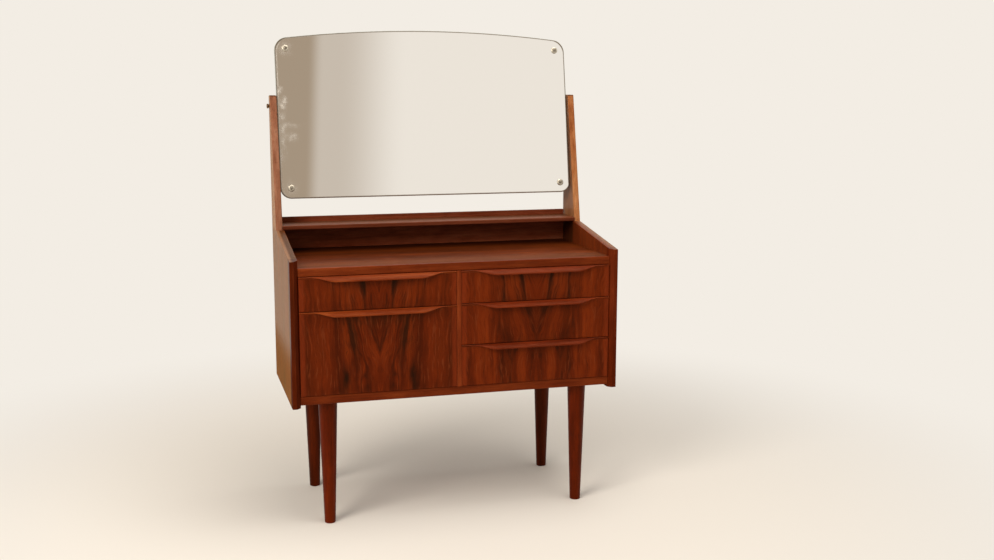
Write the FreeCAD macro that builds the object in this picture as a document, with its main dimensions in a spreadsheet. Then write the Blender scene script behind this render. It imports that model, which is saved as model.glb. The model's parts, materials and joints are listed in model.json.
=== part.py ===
"""A dressing table: five drawers between two sides, four tapered legs and a mirror that tilts between posts.

Millimetres. +X is to the right of someone who stands in front of the table, +Y runs back towards the wall
and +Z is up. The origin is on the floor, under the middle of the table's outer box.
"""
import FreeCAD, Part
import Sketcher
import math
import os
import re

Vector = FreeCAD.Vector

# Driving dimensions
SIZES = {
    # The case
    "overall_width": 840,
    "case_depth": 387,
    "leg_height": 319,
    "side_thickness": 21,
    "side_drop": 7,
    "side_rise": 19,
    "bottom_thickness": 22,
    "case_opening": 296,
    "top_thickness": 20,
    "board_setback": 9,
    "board_lipping": 12,
    "divider_thickness": 12,
    "lipping_depth": 26,
    "edge_flat": 10,
    "bevel_depth": 11,
    "edge_round": 1.5,
    "back_thickness": 5,
    "back_inset": 2,
    # The shelf at the rear and the rail behind it
    "shelf_space": 60,
    "shelf_thickness": 11,
    "shelf_overhang": 1,
    "shelf_round": 2.5,
    "rail_thickness": 10,
    "ledge_height": 14,
    # The posts
    "post_thickness": 17.5,
    "post_foot_depth": 98,
    "post_top_depth": 29,
    "post_height": 347,
    "post_round": 3,
    "dowel_diameter": 8,
    "dowel_length": 50,
    "dowel_inset": 22,
    # The legs
    "leg_top_diameter": 47.5,
    "leg_foot_diameter": 27.5,
    "leg_side_inset": 92,
    "leg_front_inset": 50,
    "leg_rear_inset": 44,
    "leg_foot_round": 2,
    "leg_bolt_diameter": 8,
    "bolt_in_leg": 40,
    "bolt_in_board": 17,
    # The drawers
    "left_shallow_opening": 86.5,
    "right_shallow_opening": 84,
    "front_thickness": 18,
    "front_setback": 6,
    "front_gap": 0.6,
    "front_round": 1,
    "box_lift": 10,
    "box_headroom": 14,
    "box_side_thickness": 12,
    "box_back_thickness": 12,
    "box_rear_gap": 10,
    "tray_thickness": 5,
    "tray_lift": 8,
    "tray_groove": 5,
    "runner_height": 12,
    "runner_gap": 6,
    "runner_bite": 5,
    "runner_stop": 1,
    # The pulls
    "pull_strip": 5,
    "strip_proud": 2.5,
    "lip_top": 1.5,
    "lip_projection": 15,
    "lip_drop": 13,
    "lip_edge": 3,
    "lip_round": 1.2,
    "pull_taper": 64,
    "pull_end": 28,
    # The mirror
    "mirror_gap": 0.7,
    "mirror_above": 176,
    "mirror_below": 246,
    "mirror_crown": 25,
    "mirror_top_corner": 35,
    "mirror_foot_corner": 29,
    "mirror_tilt": 10,
    "glass_thickness": 4,
    "glass_chamfer": 1.2,
    "backing_thickness": 14,
    "backing_inset": 2,
    "rosette_diameter": 18,
    "rosette_height": 3,
    "rosette_side_inset": 28.8,
    "rosette_top_inset": 25.5,
    "rosette_bottom_inset": 27.5,
    "screw_diameter": 4,
    "screw_bite": 11,
    "slot_width": 1.2,
    "slot_depth": 1,
    # The pivots
    "pivot_drop": 28,
    "pivot_inset": 9,
    "pivot_diameter": 6,
    "bush_diameter": 10,
    "bush_length": 25,
    "spacer_diameter": 14,
    "knob_diameter": 12,
    "knob_length": 7,
    "knob_neck_diameter": 8.5,
    "knob_neck_length": 1.8,
    "knob_round": 1.5,
    # The back panel's screws
    "back_screw_diameter": 3,
    "back_screw_bite": 14,
    "back_screw_head": 7,
    "back_screw_inset": 60,
    # Clearances
    "hole_slack": 0.1,
    "running_slack": 0.3,
    "pivot_slack": 0.05,
    "cut_margin": 5,
    "cut_clear": 0.5,
}

# What follows from them
PLACES = {
    "pivot_depth": "case_depth - pivot_inset",
    "mirror_rear_rise": "mirror_above + mirror_crown - backing_inset",
    "rear_reach": "pivot_depth + mirror_rear_rise * sin(mirror_tilt)"
                  " + backing_thickness / 2 * cos(mirror_tilt)",
    "front_reach": "lip_projection - front_setback",
    "front_y": "(front_reach - rear_reach) / 2",
    "rear_y": "front_y + case_depth",
    "board_front_y": "front_y + board_setback",
    "back_front_y": "rear_y - back_inset - back_thickness",
    "rail_front_y": "rear_y - back_inset - rail_thickness",
    "post_front_y": "rear_y - post_foot_depth",
    "inner_x": "overall_width / 2 - side_thickness",
    "post_inner_x": "overall_width / 2 - post_thickness",
    "side_bottom": "leg_height - side_drop",
    "case_floor": "leg_height + bottom_thickness",
    "case_ceiling": "case_floor + case_opening",
    "top_surface": "case_ceiling + top_thickness",
    "side_front_top": "top_surface + side_rise",
    "shoulder": "top_surface + shelf_space",
    "side_slope": "(shoulder - side_front_top) / (case_depth - post_foot_depth)",
    "lipping_rear_top": "side_front_top + lipping_depth * side_slope",
    "shelf_top": "shoulder + shelf_thickness",
    "ledge_top": "shelf_top + ledge_height",
    "leg_x": "overall_width / 2 - leg_side_inset",
    "leg_front_y": "front_y + leg_front_inset",
    "leg_rear_y": "rear_y - leg_rear_inset",
    "leg_bolt_hole": "leg_bolt_diameter + 2 * hole_slack",
    "dowel_hole": "dowel_diameter + 2 * hole_slack",
    # The drawers, in a frame at the middle of the column, at the front's rear face
    "column_width": "inner_x - divider_thickness / 2",
    "column_x": "(inner_x + divider_thickness / 2) / 2",
    "front_width": "column_width - 2 * front_gap",
    "front_rear_y": "front_y + front_setback + front_thickness",
    "box_length": "back_front_y - box_rear_gap - front_rear_y",
    "box_half": "column_width / 2 - runner_gap",
    "box_inner_half": "box_half - box_side_thickness",
    "tray_low": "box_lift + tray_lift",
    "tray_high": "tray_low + tray_thickness + 2 * hole_slack",
    "groove_depth": "runner_bite + runner_stop",
    "left_split": "case_ceiling - left_shallow_opening",
    "right_split": "case_ceiling - right_shallow_opening",
    "middle_split": "(case_floor + right_split) / 2",
    "lip_half": "front_width / 2 - pull_end - pull_taper",
    "lip_hollow": "0.8 * sqrt((lip_projection - lip_edge)^2 + (lip_drop - pull_strip)^2)",
    "taper_depth": "lip_projection + cut_clear - strip_proud",
    "taper_radius": "(pull_taper^2 + taper_depth^2) / (4 * taper_depth)",
    # The mirror, in a frame at the pivot that tilts with it
    "pivot_y": "front_y + pivot_depth",
    "pivot_z": "shoulder + post_height - pivot_drop",
    "glass_half": "post_inner_x - mirror_gap",
    "backing_half": "glass_half - backing_inset",
    "glass_front": "-backing_thickness / 2 - glass_thickness",
    "pivot_hole": "pivot_diameter + 2 * pivot_slack",
    "spacer_length": "mirror_gap + backing_inset - running_slack",
    "pivot_reach": "post_thickness + mirror_gap + backing_inset + bush_length - hole_slack",
    "rosette_hole": "screw_diameter + 4 * running_slack",
}

SHEET_NAMES = {name: "Sizes." + name for name in SIZES}
SHEET_NAMES.update({name: "Places." + name for name in PLACES})

doc = FreeCAD.newDocument("DressingTable")


def spelled(expression):
    """An expression with the sheet's name put in front of each alias."""
    return re.sub(r"[a-z][a-z_]*", lambda word: SHEET_NAMES.get(word.group(), word.group()), expression)


def fill_sheet(name, cells):
    sheet = doc.addObject("Spreadsheet::Sheet", name)
    for row, (alias, text) in enumerate(cells.items(), start=1):
        sheet.set(f"A{row}", alias)
        sheet.set(f"B{row}", text)
        sheet.setAlias(f"B{row}", alias)
    doc.recompute()
    return sheet


fill_sheet("Sizes", {name: str(size) for name, size in SIZES.items()})
places = fill_sheet("Places", {name: "=" + spelled(rule) for name, rule in PLACES.items()})


def value(expression):
    """The number that an expression over the sheets stands for now."""
    return float(places.evalExpression(spelled(expression)))


def bind(item, path, expression):
    item.setExpression(path, spelled(expression))


# Sketches
def new_sketch(body, plane, name, offset="0"):
    sketch = body.newObject("Sketcher::SketchObject", f"{body.Name}_{name}")
    support = next(item for item in body.Origin.OriginFeatures if item.Role == plane)
    sketch.AttachmentSupport = [(support, "")]
    sketch.MapMode = "FlatFace"
    bind(sketch, "AttachmentOffset.Base.z", offset)
    return sketch


def hold(sketch, constraint, expression):
    """Adds a constraint and binds its value to the sheets."""
    index = sketch.addConstraint(constraint)
    bind(sketch, f"Constraints[{index}]", expression)


def hold_point(sketch, geometry, point, x, y):
    """Holds a point of the sketch at x and y from the sketch's own origin."""
    for kind, expression in (("DistanceX", x), ("DistanceY", y)):
        hold(sketch, Sketcher.Constraint(kind, -1, 1, geometry, point, value(expression)), expression)


def add_arc(sketch, start, end, radius, turn):
    """An arc from start to end that turns left (1) or right (-1); returns it with its end points' numbers."""
    chord = end - start
    towards_centre = Vector(-chord.y, chord.x, 0) * (turn / chord.Length)
    centre = (start + end) / 2 + towards_centre * math.sqrt(radius ** 2 - chord.Length ** 2 / 4)
    first, last = (start, end) if turn > 0 else (end, start)
    angles = [math.atan2(point.y - centre.y, point.x - centre.x) for point in (first, last)]
    circle = Part.Circle(centre, Vector(0, 0, 1), radius)
    geometry = sketch.addGeometry(Part.ArcOfCircle(circle, *angles), False)
    return (geometry, 1, 2) if turn > 0 else (geometry, 2, 1)


def add_outline(sketch, corners):
    """A closed outline. A corner is (x, y), or (x, y, radius, turn) where an arc leads to the next one."""
    points = [Vector(value(corner[0]), value(corner[1]), 0) for corner in corners]
    edges = []
    for number, corner in enumerate(corners):
        start = points[number]
        end = points[(number + 1) % len(points)]
        if len(corner) == 2:
            edges.append((sketch.addGeometry(Part.LineSegment(start, end), False), 1, 2))
        else:
            edges.append(add_arc(sketch, start, end, value(corner[2]), corner[3]))
    for number, (geometry, _, last) in enumerate(edges):
        following, following_first, _ = edges[(number + 1) % len(edges)]
        sketch.addConstraint(Sketcher.Constraint("Coincident", geometry, last, following, following_first))
    for (geometry, first, _), corner in zip(edges, corners):
        hold_point(sketch, geometry, first, corner[0], corner[1])
        if len(corner) > 2:
            hold(sketch, Sketcher.Constraint("Radius", geometry, value(corner[2])), corner[2])


def add_rectangle(sketch, x, y):
    add_outline(sketch, [(x[0], y[0]), (x[1], y[0]), (x[1], y[1]), (x[0], y[1])])


def add_circle(sketch, x, y, diameter):
    centre = Vector(value(x), value(y), 0)
    circle = sketch.addGeometry(Part.Circle(centre, Vector(0, 0, 1), value(diameter) / 2), False)
    hold_point(sketch, circle, 3, x, y)
    hold(sketch, Sketcher.Constraint("Diameter", circle, value(diameter)), diameter)


# Features
def new_body(label):
    return doc.addObject("PartDesign::Body", label)


def add_pad(body, sketch, length, reverse=False, both_ways=False):
    pad = body.newObject("PartDesign::Pad", sketch.Name + "_pad")
    pad.Profile = sketch
    pad.Reversed = reverse
    pad.SideType = "Symmetric" if both_ways else "One side"
    bind(pad, "Length", length)
    doc.recompute()


def add_pocket(body, sketch, depth=None, reverse=False):
    """Cuts a sketch into a body, to a depth or right through, and makes sure that it did cut."""
    whole = body.Shape.Volume
    pocket = body.newObject("PartDesign::Pocket", sketch.Name + "_pocket")
    pocket.Profile = sketch
    pocket.Reversed = reverse
    if depth is None:
        pocket.Type = "ThroughAll"
    else:
        bind(pocket, "Length", depth)
    doc.recompute()
    if body.Shape.Volume >= whole:
        raise RuntimeError(f"{pocket.Name} cuts nothing")


def round_edges(body, radius, wanted, kind="Fillet"):
    """Rounds, or with kind Chamfer bevels, the edges of a body that wanted(edge) picks."""
    base = body.Tip
    names = [f"Edge{number}" for number, edge in enumerate(base.Shape.Edges, start=1) if wanted(edge)]
    if not names:
        raise RuntimeError(f"no edge to round on {body.Name}")
    feature = body.newObject(f"PartDesign::{kind}", f"{body.Name}_{kind}")
    feature.Base = (base, names)
    bind(feature, "Radius" if kind == "Fillet" else "Size", radius)
    doc.recompute()


def near(first, second):
    return abs(first - second) < 0.001


def place(item, x="0", y="0", z="0"):
    for axis, expression in (("x", x), ("y", y), ("z", z)):
        bind(item, f"Placement.Base.{axis}", expression)


def place_on_mirror(item, x="0", y="0", z="0"):
    """Puts a piece at a point of the tilted mirror's own frame, whose origin is the pivot."""
    item.Placement = FreeCAD.Placement(Vector(), FreeCAD.Rotation(Vector(-1, 0, 0), value("mirror_tilt")))
    bind(item, "Placement.Rotation.Angle", "mirror_tilt")
    place(item, x,
          f"pivot_y + ({y}) * cos(mirror_tilt) + ({z}) * sin(mirror_tilt)",
          f"pivot_z - ({y}) * sin(mirror_tilt) + ({z}) * cos(mirror_tilt)")


def block(label, x, y, z):
    """A rectangular board between pairs of x, y and z."""
    body = new_body(label)
    sketch = new_sketch(body, "XY_Plane", "plan")
    add_rectangle(sketch, x, y)
    add_pad(body, sketch, f"{z[1]} - ({z[0]})")
    place(body, z=z[0])
    return body


def turned(label, plane, axis, corners):
    """A piece turned on a lathe: the outline spun about the sketch's upright (V) or level (H) axis."""
    body = new_body(label)
    sketch = new_sketch(body, plane, "profile")
    add_outline(sketch, corners)
    spin = body.newObject("PartDesign::Revolution", label + "_spin")
    spin.Profile = sketch
    spin.ReferenceAxis = (sketch, [axis])
    spin.Angle = 360
    doc.recompute()
    return body


def ring(label, outer, inner, length):
    """A tube along X."""
    body = new_body(label)
    sketch = new_sketch(body, "YZ_Plane", "section")
    add_circle(sketch, "0", "0", outer)
    add_circle(sketch, "0", "0", inner)
    add_pad(body, sketch, length)
    return body


def group(label, members):
    compound = doc.addObject("Part::Compound", label)
    compound.Links = members
    return compound


HANDS = {"left": -1, "right": 1}
SYMMETRIC_X = ("-inner_x", "inner_x")


# The sides and their bevelled front lippings
def side_x(hand):
    return "-overall_width / 2" if hand < 0 else "overall_width / 2 - side_thickness"


def is_slanted(edge):
    box = edge.BoundBox
    return box.YLength > 1 and box.ZLength > 1 and box.XLength < 1


def make_side(name, hand):
    body = new_body(f"side_{name}")
    outline = new_sketch(body, "YZ_Plane", "outline")
    add_outline(outline, [
        ("lipping_depth", "side_bottom - shoulder"),
        ("case_depth", "side_bottom - shoulder"),
        ("case_depth", "0"),
        ("case_depth - post_foot_depth", "0"),
        ("lipping_depth", "lipping_rear_top - shoulder"),
    ])
    add_pad(body, outline, "side_thickness")
    holes = new_sketch(body, "XY_Plane", "dowel_holes")
    middle = "post_thickness / 2" if hand < 0 else "side_thickness - post_thickness / 2"
    for depth in ("case_depth - post_foot_depth + dowel_inset", "case_depth - dowel_inset"):
        add_circle(holes, middle, depth, "dowel_hole")
    add_pocket(body, holes, "dowel_length / 2 + hole_slack")
    round_edges(body, "edge_round", is_slanted)
    place(body, side_x(hand), "front_y", "shoulder")
    return body


def make_side_lipping(name, hand):
    body = new_body(f"side_lipping_{name}")
    outline = new_sketch(body, "YZ_Plane", "outline")
    add_outline(outline, [
        ("0", "side_bottom - shoulder"),
        ("lipping_depth", "side_bottom - shoulder"),
        ("lipping_depth", "lipping_rear_top - shoulder"),
        ("0", "side_front_top - shoulder"),
    ])
    add_pad(body, outline, "side_thickness")
    inner = "side_thickness" if hand < 0 else "0"
    flat_end = "edge_flat" if hand < 0 else "side_thickness - edge_flat"
    bevel = new_sketch(body, "XY_Plane", "bevel")
    add_outline(bevel, [(inner, "bevel_depth"), (inner, "0"), (flat_end, "0")])
    add_pocket(body, bevel)
    outer_x = 0 if hand < 0 else value("side_thickness")
    round_edges(body, "edge_round", lambda edge: edge.BoundBox.YMax < 0.001 and edge.BoundBox.ZLength < 1
                or edge.BoundBox.YMax < 0.001 and near(edge.CenterOfMass.x, outer_x)
                or is_slanted(edge) and near(edge.CenterOfMass.x, outer_x))
    place(body, side_x(hand), "front_y", "shoulder")
    return body


# The boards between the sides
def round_front(body, front, radius):
    """Rounds the long edges of a board's front."""
    front_y = value(front)
    round_edges(body, radius, lambda edge: near(edge.BoundBox.YMax, front_y) and edge.BoundBox.XLength > 1)


def make_lipping(label, z):
    body = block(label, SYMMETRIC_X, ("board_front_y", "board_front_y + board_lipping"), z)
    round_front(body, "board_front_y", "edge_round")
    return body


def make_bottom_board():
    body = block("bottom_board", SYMMETRIC_X, ("board_front_y + board_lipping", "back_front_y"),
                 ("leg_height", "case_floor"))
    holes = new_sketch(body, "XY_Plane", "bolt_holes")
    for x, y in LEG_SPOTS.values():
        add_circle(holes, x, y, "leg_bolt_hole")
    add_pocket(body, holes, "bolt_in_board + hole_slack", reverse=True)
    return body


def make_shelf():
    front = "post_front_y - shelf_overhang"
    body = block("shelf", ("-post_inner_x", "post_inner_x"), (front, "rail_front_y"),
                 ("shoulder", "shelf_top"))
    round_front(body, front, "shelf_round")
    return body


def make_back_rail():
    body = block("back_rail", SYMMETRIC_X, ("rail_front_y", "rear_y - back_inset"),
                 ("top_surface", "ledge_top"))
    height = value("ledge_top - top_surface")
    round_edges(body, "edge_round",
                lambda edge: near(edge.BoundBox.ZMin, height) and edge.BoundBox.XLength > 1)
    return body


def make_back_screws():
    head_rise = "back_screw_head / 4"
    shank = "back_screw_diameter / 2"
    far_x = "(inner_x - back_screw_inset)"
    across = [f"{share} * {far_x}" for share in ("-1", "-1 / 3", "1 / 3", "1")]
    rows = ("case_ceiling + top_thickness / 2", "leg_height + bottom_thickness / 2")
    spots = [(x, z) for z in rows for x in across]
    spots += [("0", f"case_floor + {share} * case_opening") for share in ("1 / 3", "2 / 3")]
    screws = []
    for number, (x, z) in enumerate(spots, start=1):
        screw = turned(f"back_screw_{number}", "XY_Plane", "V_Axis", [
            ("0", "-back_thickness - back_screw_bite"),
            (shank, "-back_thickness - back_screw_bite"),
            (shank, "0"),
            ("back_screw_head / 2", "0"),
            ("back_screw_head / 4", head_rise),
            ("0", head_rise),
        ])
        place(screw, x, "rear_y - back_inset", z)
        screws.append(screw)
    return group("back_panel_screws", screws)


# The posts and their dowels
def make_post(name, hand):
    body = new_body(f"post_{name}")
    outline = new_sketch(body, "YZ_Plane", "outline")
    add_outline(outline, [
        ("0", "0"),
        ("post_foot_depth", "0"),
        ("post_foot_depth", "post_height"),
        ("post_foot_depth - post_top_depth", "post_height"),
    ])
    add_pad(body, outline, "post_thickness")
    top = value("post_height")
    front_middle = value("post_foot_depth - post_top_depth")
    round_edges(body, "post_round", lambda edge: near(edge.BoundBox.ZMin, top)
                or edge.BoundBox.ZLength > 1 and edge.CenterOfMass.y < front_middle)
    dowels = new_sketch(body, "XY_Plane", "dowel_holes")
    for depth in ("dowel_inset", "post_foot_depth - dowel_inset"):
        add_circle(dowels, "post_thickness / 2", depth, "dowel_hole")
    add_pocket(body, dowels, "dowel_length / 2 + hole_slack", reverse=True)
    pivot = new_sketch(body, "YZ_Plane", "pivot_hole")
    add_circle(pivot, "post_foot_depth - pivot_inset", "post_height - pivot_drop", "pivot_hole")
    add_pocket(body, pivot, reverse=True)
    place(body, "-overall_width / 2" if hand < 0 else "post_inner_x", "post_front_y", "shoulder")
    return body


def make_post_dowels():
    dowels = []
    for name, hand in HANDS.items():
        for end, y in (("front", "post_front_y + dowel_inset"), ("rear", "rear_y - dowel_inset")):
            dowel = doc.addObject("Part::Cylinder", f"dowel_{name}_{end}")
            bind(dowel, "Radius", "dowel_diameter / 2")
            bind(dowel, "Height", "dowel_length")
            place(dowel, f"{hand} * (overall_width - post_thickness) / 2", y, "shoulder - dowel_length / 2")
            dowels.append(dowel)
    return group("post_dowels", dowels)


# The legs and their bolts
LEG_SPOTS = {
    "front_left": ("-leg_x", "leg_front_y"),
    "front_right": ("leg_x", "leg_front_y"),
    "rear_left": ("-leg_x", "leg_rear_y"),
    "rear_right": ("leg_x", "leg_rear_y"),
}


def make_leg(name, x, y):
    leg = turned(f"leg_{name}", "XZ_Plane", "V_Axis", [
        ("0", "0"),
        ("leg_foot_diameter / 2", "0"),
        ("leg_top_diameter / 2", "leg_height"),
        ("leg_bolt_hole / 2", "leg_height"),
        ("leg_bolt_hole / 2", "leg_height - bolt_in_leg - hole_slack"),
        ("0", "leg_height - bolt_in_leg - hole_slack"),
    ])
    round_edges(leg, "leg_foot_round", lambda edge: edge.BoundBox.ZMax < 0.001 and edge.BoundBox.XLength > 1)
    place(leg, x, y)
    return leg


def make_leg_bolts():
    bolts = []
    for name, (x, y) in LEG_SPOTS.items():
        bolt = doc.addObject("Part::Cylinder", f"leg_bolt_{name}")
        bind(bolt, "Radius", "leg_bolt_diameter / 2")
        bind(bolt, "Height", "bolt_in_leg + bolt_in_board")
        place(bolt, x, y, "leg_height - bolt_in_leg")
        bolts.append(bolt)
    return group("leg_bolts", bolts)


# The drawers: the column's hand, and the heights between which the front lies
DRAWERS = {
    "left_top": (-1, "left_split", "case_ceiling"),
    "left_deep": (-1, "case_floor", "left_split"),
    "right_top": (1, "right_split", "case_ceiling"),
    "right_middle": (1, "middle_split", "right_split"),
    "right_bottom": (1, "case_floor", "middle_split"),
}


def place_in_column(item, hand, z):
    place(item, f"{hand} * column_x", "front_rear_y", z)


def make_drawer_front(name, hand, low, high):
    body = new_body(f"drawer_{name}_front")
    outline = new_sketch(body, "XZ_Plane", "outline")
    add_rectangle(outline, ("-front_width / 2", "front_width / 2"),
                  ("front_gap", f"{high} - {low} - front_gap - pull_strip"))
    add_pad(body, outline, "front_thickness")
    groove = new_sketch(body, "XZ_Plane", "tray_groove")
    reach = "box_inner_half + tray_groove"
    add_rectangle(groove, (f"-({reach})", reach), ("tray_low", "tray_high"))
    add_pocket(body, groove, "tray_groove", reverse=True)
    face_y = value("-front_thickness")
    top_z = value(f"{high} - {low} - front_gap - pull_strip")
    round_edges(body, "front_round", lambda edge: near(edge.BoundBox.YMax, face_y)
                and edge.BoundBox.ZMin < top_z - 1)
    place_in_column(body, hand, low)
    return body


def make_pull(name, hand, high):
    """A strip on the front's top edge whose middle leans out as a lip that is hollow underneath."""
    body = new_body(f"drawer_{name}_pull")
    section = new_sketch(body, "YZ_Plane", "section")
    nose = "-front_thickness - lip_projection"
    add_outline(section, [
        ("0", "0"),
        ("-front_thickness - lip_top", "0"),
        (nose, "lip_edge - lip_drop"),
        (nose, "-lip_drop"),
        (nose + " + lip_edge", "-lip_drop", "lip_hollow", -1),
        ("-front_thickness", "-pull_strip"),
        ("0", "-pull_strip"),
    ])
    add_pad(body, section, "front_width", both_ways=True)
    face_y = value("-front_thickness")
    round_edges(body, "lip_round", lambda edge: edge.BoundBox.XLength > 1
                and edge.CenterOfMass.y < face_y - 0.5)
    ends = new_sketch(body, "XY_Plane", "tapers")
    far_y = nose + " - cut_margin"
    thin_y = "-front_thickness - strip_proud"
    for side in (1, -1):
        end_x = f"{side} * (front_width / 2 + cut_margin)"
        add_outline(ends, [
            (f"{side} * lip_half", far_y),
            (end_x, far_y),
            (end_x, thin_y),
            (f"{side} * (lip_half + pull_taper)", thin_y, "taper_radius", side),
            (f"{side} * (lip_half + pull_taper / 2)", thin_y + " - taper_depth / 2", "taper_radius", -side),
            (f"{side} * lip_half", nose + " - cut_clear"),
        ])
    add_pocket(body, ends)
    place_in_column(body, hand, f"{high} - front_gap")
    return body


def runner_middle(low, high):
    """The height of the runner's middle above the foot of the drawer's opening."""
    return f"(box_lift + {high} - {low} - box_headroom) / 2"


def make_box_side(label, side, low, high):
    """A drawer side, with a groove for the runner outside and one for the bottom inside."""
    body = new_body(label)
    middle = runner_middle(low, high)
    groove_low = f"{middle} - runner_height / 2 - running_slack"
    groove_high = f"{middle} + runner_height / 2 + running_slack"
    top = f"{high} - {low} - box_headroom"
    outer = f"{side} * box_half"
    groove = f"{side} * (box_half - groove_depth)"
    inner = f"{side} * box_inner_half"
    tray = f"{side} * (box_inner_half + tray_groove)"
    section = new_sketch(body, "XZ_Plane", "section")
    add_outline(section, [
        (outer, "box_lift"), (outer, groove_low), (groove, groove_low), (groove, groove_high),
        (outer, groove_high), (outer, top), (inner, top), (inner, "tray_high"),
        (tray, "tray_high"), (tray, "tray_low"), (inner, "tray_low"), (inner, "box_lift"),
    ])
    add_pad(body, section, "box_length", reverse=True)
    return body


def make_drawer_box(name, hand, low, high):
    sides = []
    for word, side in HANDS.items():
        panel = make_box_side(f"drawer_{name}_side_{word}", side, low, high)
        place_in_column(panel, hand, low)
        sides.append(panel)
    inner = ("-box_inner_half", "box_inner_half")
    back = block(f"drawer_{name}_back", inner, ("box_length - box_back_thickness", "box_length"),
                 ("tray_high", f"{high} - {low} - box_headroom"))
    place_in_column(back, hand, f"{low} + tray_high")
    reach = "(box_inner_half + tray_groove - hole_slack)"
    tray = block(f"drawer_{name}_bottom", ("-" + reach, reach), ("hole_slack - tray_groove", "box_length"),
                 ("0", "tray_thickness"))
    place_in_column(tray, hand, f"{low} + tray_low + hole_slack")
    return [group(f"drawer_{name}_sides", sides), back, tray]


def make_runners(name, hand, low, high):
    """The pair of strips that a drawer hangs on."""
    runners = []
    for word, side in HANDS.items():
        runner = new_body(f"runner_{name}_{word}")
        section = new_sketch(runner, "XZ_Plane", "section")
        middle = runner_middle(low, high)
        add_rectangle(section, (f"{side} * (column_width / 2 - runner_gap - runner_bite)",
                                f"{side} * column_width / 2"),
                      (f"{middle} - runner_height / 2", f"{middle} + runner_height / 2"))
        add_pad(runner, section, "box_length - runner_stop", reverse=True)
        place(runner, f"{hand} * column_x", "front_rear_y + runner_stop", low)
        runners.append(runner)
    return group(f"drawer_{name}_runners", runners)


# The mirror and its fixings
def mirror_outline(sketch, inset):
    half = f"(glass_half - {inset})"
    top = f"mirror_above - {inset}"
    foot = f"{inset} - mirror_below"
    crown = f"({half}^2 + mirror_crown^2) / (2 * mirror_crown)"
    add_outline(sketch, [("-" + half, foot), (half, foot), (half, top, crown, 1), ("-" + half, top)])


def round_corners(body, inset):
    """Rounds the two upper and the two lower corners of the mirror's outline."""
    for radius, end in (("mirror_top_corner", 1), ("mirror_foot_corner", -1)):
        round_edges(body, f"{radius} - {inset}", lambda edge: near(edge.BoundBox.XLength, 0)
                    and near(edge.BoundBox.ZLength, 0) and edge.CenterOfMass.z * end > 0)


ROSETTE_SPOTS = [(f"{hand} * (glass_half - rosette_side_inset)", height)
                 for height in ("mirror_above - rosette_top_inset", "rosette_bottom_inset - mirror_below")
                 for hand in HANDS.values()]


def make_glass():
    body = new_body("mirror_glass")
    outline = new_sketch(body, "XZ_Plane", "outline", offset="backing_thickness / 2")
    mirror_outline(outline, "0")
    add_pad(body, outline, "glass_thickness")
    round_corners(body, "0")
    face_y = value("glass_front")
    round_edges(body, "glass_chamfer", lambda edge: near(edge.BoundBox.YMax, face_y), kind="Chamfer")
    holes = new_sketch(body, "XZ_Plane", "screw_holes", offset="backing_thickness / 2")
    for x, z in ROSETTE_SPOTS:
        add_circle(holes, x, z, "rosette_hole")
    add_pocket(body, holes, reverse=True)
    place_on_mirror(body)
    return body


def make_backing():
    body = new_body("mirror_backing")
    outline = new_sketch(body, "XZ_Plane", "outline")
    mirror_outline(outline, "backing_inset")
    add_pad(body, outline, "backing_thickness", both_ways=True)
    round_corners(body, "backing_inset")
    for name, hand in HANDS.items():
        hole = new_sketch(body, "YZ_Plane", f"bush_hole_{name}", f"{hand} * (backing_half - bush_length)")
        add_circle(hole, "0", "0", "bush_diameter + 2 * hole_slack")
        add_pocket(body, hole, reverse=hand > 0)
    place_on_mirror(body)
    return body


def make_rosettes():
    """Dished washers on the glass, each with a cone for its screw's head."""
    rosettes = []
    for number, (x, z) in enumerate(ROSETTE_SPOTS, start=1):
        rim = "rosette_diameter / 2"
        rosette = turned(f"rosette_{number}", "XY_Plane", "V_Axis", [
            ("rosette_hole / 2", "0"),
            (rim, "0"),
            (rim, "-rosette_height / 3"),
            (f"{rim} - rosette_height * 2 / 3", "-rosette_height"),
            ("rosette_hole / 2 + rosette_height * 2 / 3", "-rosette_height"),
            ("rosette_hole / 2", "-rosette_height / 3"),
        ])
        place_on_mirror(rosette, x, "glass_front", z)
        rosettes.append(rosette)
    return group("mirror_rosettes", rosettes)


def make_mirror_screws():
    screws = []
    shank = "screw_diameter / 2"
    head = "rosette_hole / 2 + rosette_height * 2 / 3 - running_slack"
    tip = "glass_thickness + screw_bite"
    for number, (x, z) in enumerate(ROSETTE_SPOTS, start=1):
        screw = turned(f"mirror_screw_{number}", "XY_Plane", "V_Axis", [
            ("0", "-rosette_height"),
            (head, "-rosette_height"),
            (shank, "-rosette_height / 3"),
            (shank, tip),
            ("0", tip),
        ])
        slot = new_sketch(screw, "XZ_Plane", "slot", offset="rosette_height")
        add_rectangle(slot, (f"-({head})", head), ("-slot_width / 2", "slot_width / 2"))
        add_pocket(screw, slot, "slot_depth")
        place_on_mirror(screw, x, "glass_front", z)
        screws.append(screw)
    return group("mirror_screws", screws)


def make_pivot_rings(label, outer, inner, length, outer_end):
    """A pair of rings on the pivot's axis, whose outer ends lie at outer_end left and right of the middle."""
    rings = []
    for name, hand in HANDS.items():
        item = ring(f"{label}_{name}", outer, inner, length)
        place_on_mirror(item, f"-({outer_end})" if hand < 0 else f"{outer_end} - ({length})")
        rings.append(item)
    return group(label, rings)


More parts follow.
